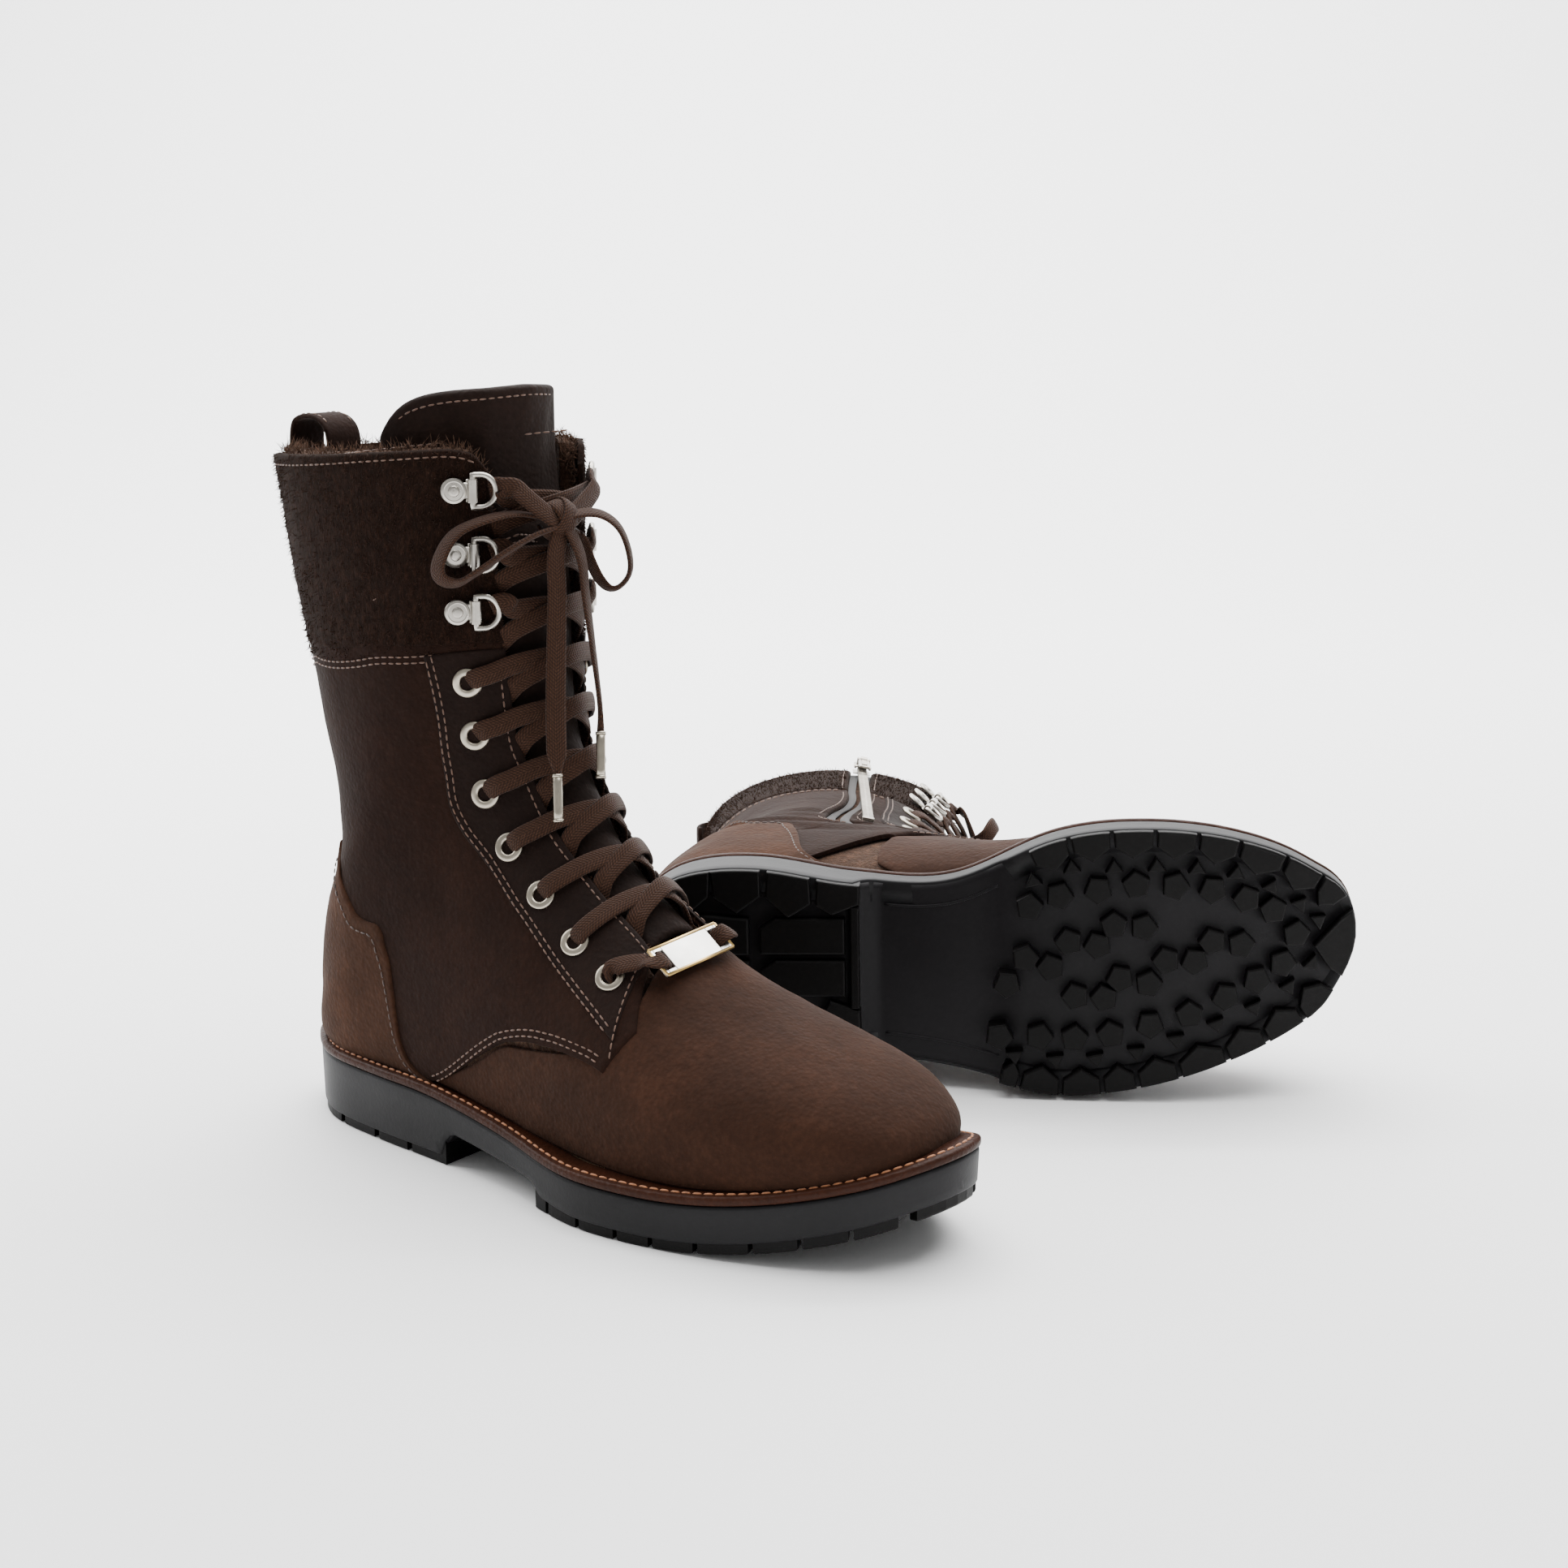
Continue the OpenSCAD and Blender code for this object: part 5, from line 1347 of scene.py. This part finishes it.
    block(teeth, ax, zc, (-2.6, -1.6, -.9), (2.6, .3, .9), .3)
    teeth.make(s + "_zip_chain", ZIPMETAL, body, b, nodes=[s + "_zip_teeth"], slot="metal", smooth=False)
    sl = Heap()
    so = zc + zd * (zl - 8)
    block(sl, ax, so, (-4.2, 0, 1.3), (4.2, 11, 2.4), .5)
    block(sl, ax, so, (-4.2, 0, -1.9), (4.2, 11, -1.3), .25)
    block(sl, ax, so, (-1.0, 7.5, -1.4), (1.0, 10.8, 1.4), .3)
    for e in (-1, 1):
        block(sl, ax, so, (e * 3.5 - .6, 1.0, .6), (e * 3.5 + .6, 10.2, 1.5), .25)
        block(sl, ax, so, (e * 2.7 - .5, 3.5, 2.2), (e * 2.7 + .5, 7.5, 5.4), .3)
    V, F, uv = sweep(place(ax, so, [[x, 5.5, 4.4] for x in (-3.2, -1, 1, 3.2)]), np.tile(zn, (4, 1)),
                     oval(1.9, 1.9, 12, 2))
    sl.add(V, F)
    sl.make(s + "_zip_slider_body", STEEL, s + "_zip_slider", b, nodes=[s + "_zip_slider"], slot="metal",
            smooth=False)
    pu = Heap()
    po = zc + zd * (zl - 2.5) + zn * 4.4
    lathe(pu, [(1.1, -1.7), (1.8, -1.7), (1.8, 1.7), (1.1, 1.7)], po, zf, 20)
    plate_with_holes(pu, ax, po, (-2.6, -22, 2.6, -2.2), [(-1.3, -20, 1.3, -14.5)], -.6, .6, .25)
    block(pu, ax, po, (-1.3, -3.2, -.6), (1.3, -1.4, .6), .2)
    pu.make(s + "_zip_pull_tab", STEEL, s + "_zip_puller", b, nodes=[s + "_zip_puller"], slot="metal",
            smooth=False)


# ---------------------------------------------------------------- lace
def ribbon(P, N, w=LACE_W, h=LACE_T, m=16):
    return sweep(P, N, oval(w, h, m, 2.4))


def smooth_path(pts, step=1.1, passes=2):
    P = even(spline(pts, len(pts) * 14), step)
    for _ in range(passes):
        P[1:-1] = (P[:-2] + 2 * P[1:-1] + P[2:]) / 4
    return P


def lace_crossings(b):
    """The fixed lace: out of each hole, over the facing and the tongue, and under the other facing."""
    s, body = SIDES[b], SIDES[b] + "_boot"
    rows = [list(e) for e in EYE] + [[r[0] - .05, r[1] - .065] for r in RING]
    heap = Heap()
    # each strand leaves its hole or ring, crosses the tongue a little downwards and dives under the
    # other facing
    for k in range(1, len(rows)):
        (ta, pa), (t0, p0) = rows[k - 1], rows[k]
        for sd in (-1, 1):
            c = 3.6 if sd < 0 else 5.9
            ringed = k >= len(EYE)
            fall = lambda f: lerp(t0, ta, f * .8)
            if ringed:
                pts = [(t0 + .03, sd * (p0 + .05), 2.4), (t0 + .02, sd * (p0 + .02), 4.6),
                       (fall(.12), sd * lerp(p0, .15, .5), 5.2)]
            else:
                pts = [(t0, sd * p0, -1.0), (t0, sd * (p0 - .006), 1.7), (fall(.03), sd * (p0 - .03), 3.4),
                       (fall(.12), sd * lerp(p0, .17, .6), 3.3)]
            pts += [(fall(.27), sd * .13, 2.5 + (c - 3.6) * .4), (fall(.5), 0, c - .6),
                    (fall(.72), -sd * .125, 1.0 + (c - 3.6) * .35),
                    (fall(.88), -sd * .165, -.7), (fall(1.0), -sd * .2, -2.9), (fall(1.02), -sd * .235, -3.4)]
            P = smooth_path(np.array([on(b, t, p, o) for t, p, o in pts]), 1.2, 3)
            tp_ = np.array([(t, p) for t, p, o in pts])
            q = np.linspace(0, len(tp_) - 1, len(P))
            tt, pp = (np.interp(q, range(len(tp_)), tp_[:, k2]) for k2 in (0, 1))
            V, F, uv = ribbon(P, normal(b, tt, pp))
            heap.add(V, F, uv)
    # straight part behind the keeper plate, from the lowest holes through the plate's slots
    t0, p0 = rows[0]
    axp, o = keeper(b)
    flip = 1 if (on(b, KEEPER[0], .1, 0) - o) @ axp[0] > 0 else -1
    for sd in (-1, 1):
        hole = place(axp, o, [[flip * sd * 12.9, 0, 1.7], [flip * sd * 12, 0, -1.4],
                              [flip * sd * 6, 0, -1.6], [0, 0, -1.6]])
        pts = [on(b, t0, sd * p0, -1.2), on(b, t0, sd * (p0 - .006), 1.8),
               on(b, t0 - .03, sd * (p0 - .03), 3.9),
               on(b, lerp(t0, KEEPER[0], .5), sd * lerp(p0, .16, .55), 4.3),
               place(axp, o, [[flip * sd * 17, 0, 2.3]])[0], *hole]
        P = smooth_path(np.array(pts), 1.1, 2)
        N = np.array([axp[2]] * len(P))
        V, F, uv = ribbon(P, N)
        heap.add(V, F, uv)
    # knot: two wraps round the crossing
    K = flop(b, np.array([127.0, -4.7, 230.3]))
    n = normal(b, 18.5, 0)
    fwd = unit(n * np.array([1, 0, .2]))
    lat = np.array([0, 1.0, 0])
    upv = unit(np.cross(fwd, lat)) * (1 if np.cross(fwd, lat)[2] > 0 else -1)
    for tilt, r, wid in ((.35, 6.6, 1.0), (-.5, 5.6, .95)):
        a = np.linspace(-2.5, 2.5, 34)
        P = np.array([K + fwd * (r * .85 * math.cos(x) - 1)
                      + (upv * math.cos(tilt) + lat * math.sin(tilt)) * r * math.sin(x)
                      + (lat * math.cos(tilt) - upv * math.sin(tilt)) * x * 1.1 for x in a])
        N = unit(P - K)
        V, F, uv = ribbon(P, N, LACE_W * wid)
        heap.add(V, F, uv)
    # from the top rings to the knot
    t, p = rows[-1]
    for sd in (-1, 1):
        pts = [on(b, t, sd * (p + .03), 4.2), on(b, t - .05, sd * p, 5.6), on(b, t - .3, sd * .1, 7.5),
               K + lat * sd * 5 + fwd * 1.5 + upv * 1, K + lat * sd * 1 + fwd * 2]
        P = smooth_path(np.array(pts), 1.1, 2)
        N = unit(np.array([lerp(normal(b, t, sd * p * (1 - q)), upv * .4 + fwd, q)
                           for q in np.linspace(0, 1, len(P))]))
        V, F, uv = ribbon(P, N)
        heap.add(V, F, uv)
    heap.make(s + "_lace_crossed", LACE, body, b, nodes=[s + "_lace"], slot="lace", with_uv=True)
    return K, fwd, lat, upv


BOW_LEFT = [(125, -10, 231), (120, -18, 233), (117, -29, 232), (109, -37, 227), (105, -41, 218),
            (105, -41, 212), (108, -36, 210),
            (115, -33, 214), (122, -25, 221), (126, -15, 226)]
BOW_RIGHT = [(130, -1, 232), (134, 7, 232), (137, 14, 227), (139, 17, 218), (139, 17, 210), (136, 12, 205),
             (132, 9, 209), (130, 6, 217), (128, 4, 225)]
TAIL_LEFT = [(130, -10, 220), (130, -10, 206), (131, -12, 187), (133, -15, 165), (137, -19, 144)]
TAIL_RIGHT = [(134, -2, 218), (135, -1, 204), (136, 1, 186), (137, 3, 166), (139, 1, 156)]


def bow(b, K, fwd, lat, upv):
    s, body = SIDES[b], SIDES[b] + "_boot"
    for nm, route, far in (("loop_outside", BOW_LEFT, "object"), ("loop_inside", BOW_RIGHT, "object"),
                           ("tail_outside", TAIL_LEFT, "fitting"), ("tail_inside", TAIL_RIGHT, "fitting")):
        R = flop(b, np.array(route, float))
        pts = np.concatenate([[K + fwd * 2.2], R]) if far == "fitting" else np.concatenate([[K + fwd * 1.5],
                R, [K + fwd * 1.2 - upv * 2]])
        P = smooth_path(pts, 1.3, 3)
        if far == "object":
            # the loop's band lies edge-on round its own middle
            c = P.mean(0)
            axis = unit(np.cross(P[len(P) // 3] - c, P[2 * len(P) // 3] - c))
            D = unit(np.gradient(P, axis=0))
            N = unit(np.cross(D, np.tile(axis, (len(P), 1))))
            N = N * np.sign(np.sum(N * (P - c), axis=1))[:, None]
            tw = np.linspace(0, 1, len(P))
            N = unit(N + .45 * np.sin(tw * np.pi)[:, None] * axis * (1 if axis[0] > 0 else -1))
        else:
            tw = np.linspace(0, 1, len(P))[:, None]
            sgn = -1 if nm.endswith("outside") else 1
            N = unit(fwd * (1 - .35 * tw) + lat * sgn * (.25 + .5 * tw))
        w = np.full(len(P), LACE_W)
        if far == "fitting":
            e2 = (len(P) - 1 - np.arange(len(P))) * 1.3
            w = np.where(e2 < 9, lerp(2.6, LACE_W, smooth(e2 / 9)), LACE_W)
            h = np.where(e2 < 9, lerp(2.6, LACE_T, smooth(e2 / 9)), LACE_T)
        else:
            h = np.full(len(P), LACE_T)
        sec = np.array([oval(a, c_, 16, 2.4) for a, c_ in zip(w, h)])
        V, F, uv = sweep(P, N, sec)
        length = float(np.sum(np.linalg.norm(np.diff(P, axis=0), axis=1))) / 1000
        ob = make(f"{s}_lace_{nm}", V, F, LACE, body, b, uv=uv, slot="lace",
                  **({"nodes": [s + "_lace_ends"]} if nm == "loop_outside" else {}))
        extra = []
        if far == "fitting":
            d = unit(P[-1] - P[-3])
            hp = Heap()
            line = P[-1] + d * np.linspace(-.8, 15.6, 6)[:, None]
            V, F, uv = sweep(line, np.tile(unit(np.cross(d, lat)), (6, 1)), oval(3.3, 3.3, 20, 2))
            hp.add(V, F)
            for e in (-.8, 14.6):
                line = P[-1] + d * np.linspace(e, e + 1, 3)[:, None]
                V, F, uv = sweep(line, np.tile(unit(np.cross(d, lat)), (3, 1)), oval(3.7, 3.7, 20, 2))
                hp.add(V, F)
            ag = hp.make(f"{s}_aglet_{nm[5:]}", BRASS, body, b, slot="metal",
                         **({"nodes": [s + "_aglets"]} if nm == "tail_outside" else {}))
            extra = [ag]
        route_w = world(b, even(P, 3.5)) / 1000
        yield ob, route_w, length, far, extra
# ---------------------------------------------------------------- fur at the rim and beside the throat
def strand(heap, P, r0):
    """One tapering three-sided hair along four points."""
    n = len(P)
    D = unit(np.gradient(P, axis=0))
    S = unit(np.cross(D, [0.31, 0.22, 0.92]))
    W = np.cross(D, S)
    V = []
    for i in range(n - 1):
        r = r0 * (1 - .75 * i / (n - 1))
        for a in (0, 2.094, 4.189):
            V.append(P[i] + r * (math.cos(a) * S[i] + math.sin(a) * W[i]))
    V.append(P[-1])
    F = [(i * 3 + j, i * 3 + (j + 1) % 3, (i + 1) * 3 + (j + 1) % 3, (i + 1) * 3 + j) for i in range(n - 2)
         for j in range(3)]
    k = (n - 2) * 3
    F += [(k + j, k + (j + 1) % 3, k + 3) for j in range(3)] + [(2, 1, 0)]
    heap.add(V, F)


def fur(b):
    s, body = SIDES[b], SIDES[b] + "_boot"
    rng = np.random.default_rng(40 + b)
    heap = Heap()
    def tuft(P0, dirn, length, curl):
        d = unit(dirn + rng.normal(size=3) * .45)
        c = rng.normal(size=3) * curl
        q = np.linspace(0, 1, 4)[:, None]
        strand(heap, P0 + d * length * q + c * q ** 2, rng.uniform(.13, .24))
    # round the rim
    for _ in range(5200 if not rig.quick() else 2200):
        q = rng.uniform(.17, 1.83)
        p = -q if q <= 1 else 2 - q
        p = np.array(float(p))
        t = soft(p, RIM, .02) + rng.uniform(-.5, .06)
        o = rng.uniform(-7.4, -2.0)
        P0, n = on(b, t, p, o), normal(b, t, p)
        up = unit(base(b, t + .1, p) - base(b, t - .1, p))
        tuft(P0, up * rng.uniform(.5, 1.1) + n * rng.uniform(-.8, .35), rng.uniform(1.6, 4.2), 1.1)
    # along the throat, from behind the facings' edges
    for _ in range(2600 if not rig.quick() else 1000):
        sd = rng.choice([-1, 1])
        t = rng.uniform(6.7, 19.6)
        p = sd * (lookup(t, FRONT) + rng.uniform(.0, .03))
        t, p = np.array(t), np.array(p)
        P0, n = on(b, t, p, rng.uniform(-3.5, -1.6)), normal(b, t, p)
        side = unit(base(b, t, p * .9) - base(b, t, p))
        tuft(P0, side * 1.0 + n * rng.uniform(-.2, .5), rng.uniform(1.4, 3.4), .8)
    heap.make(s + "_fur", FUR, body, b, slot="fleece")
    # short hairs of the cuff's suede
    heap = Heap()
    for _ in range(9000 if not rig.quick() else 3500):
        q = rng.uniform(.165, 1.83)
        p = np.array(float(-q if q <= 1 else 2 - q))
        if abs(p - ZIP_P) < ZIP_HALF + .01:
            continue
        t0 = lookup(p, CUFF_SEAM) - .05
        t = lerp(t0, soft(p, RIM, .02), rng.uniform(0, 1))
        P0, n = on(b, t, p, .75), normal(b, t, p)
        up = unit(base(b, t + .1, p) - base(b, t - .1, p))
        tuft(P0, n * .55 - up * rng.uniform(.3, 1.1), rng.uniform(1.0, 2.2), .5)
    heap.make(s + "_cuff_hairs", CUFFHAIR, body, b, slot="cuff_suede")
# ---------------------------------------------------------------- camera and free lace first
cam_data = bpy.data.cameras.new("camera")
cam = bpy.data.objects.new("camera", cam_data)
bpy.context.collection.objects.link(cam)
cam.location = (-0.0193, -0.9444, 0.3195)
cam.rotation_euler = (math.radians(77.63), 0, 0)
cam_data.lens, cam_data.sensor_width = 55.609, 36
bpy.context.scene.camera = cam

for b in (0, 1):
    knot = lace_crossings(b)
    for ob, path, length, far, extra in bow(b, *knot):
        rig.cord(ob, exit=path[0], length=length, diameter=LACE_W / 1000, far_end=far, stiffness="limp",
                lay="hanging" if b == 0 else "loose", path=[list(map(float, q)) for q in path],
                with_pieces=extra)

for b in (0, 1):
    uppers(b)
    sole(b)
    hardware(b)
    fur(b)
    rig.padded(bpy.data.objects[SIDES[b] + "_tongue_padding"], fill=.7)

# inner stiffening parts and footbeds keep their CAD shape, with better materials
for s in SIDES:
    for node, mat in (("shank", STEEL), ("insole_board", BOARD), ("heel_stiffener", BOARD),
                      ("toe_puff", BOARD), ("footbed", FLEECE)):
        ob = frame["nodes"][f"{s}_{node}"]
        ob.data.materials.clear()
        ob.data.materials.append(mat)

# ---------------------------------------------------------------- studio
floor_mat, nt, bs = nodes_of("studio_floor")
bs.inputs["Base Color"].default_value = (.93, .93, .93, 1)
bs.inputs["Roughness"].default_value = .8
R_, H_ = 3.2, 2.6
prof = [(-R_, 0), (1.1, 0)] + [(1.1 + .9 * math.sin(a), .9 - .9 * math.cos(a))
                               for a in np.linspace(.1, math.pi / 2, 10)] + [(2.0, H_)]
V = [(x, y, z) for y, z in prof for x in (-R_, R_)]
F = [(2 * i, 2 * i + 1, 2 * i + 3, 2 * i + 2) for i in range(len(prof) - 1)]
me = bpy.data.meshes.new("studio_floor")
me.from_pydata(V, [], F)
me.polygons.foreach_set("use_smooth", [True] * len(F))
floor = bpy.data.objects.new("studio_floor", me)
bpy.context.collection.objects.link(floor)
me.materials.append(floor_mat)
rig.stage(floor)


def area(name, loc, aim, size, power):
    d = bpy.data.lights.new(name, "AREA")
    d.shape, d.size, d.size_y, d.energy = "RECTANGLE", size[0], size[1], power
    o = bpy.data.objects.new(name, d)
    bpy.context.collection.objects.link(o)
    o.location = loc
    o.rotation_euler = (Vector(aim) - Vector(loc)).to_track_quat("-Z", "Y").to_euler()


area("top", (.2, .35, 1.9), (.05, .05, 0), (2.6, 2.2), 118)
area("side", (-1.3, .5, 1.0), (0, 0, .15), (.9, .9), 20)
area("wall", (0, .9, 1.9), (0, 2.0, .8), (2.6, .6), 90)
world_ = bpy.data.worlds.new("studio")
world_.use_nodes = True
world_.node_tree.nodes["Background"].inputs["Color"].default_value = (1, 1, 1, 1)
world_.node_tree.nodes["Background"].inputs["Strength"].default_value = .55
bpy.context.scene.world = world_

json.dump({"cad": [list(map(float, c)) for c in cad_box], "visual": [list(map(float, c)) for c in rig.bounds()]}, open("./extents.json", "w"))
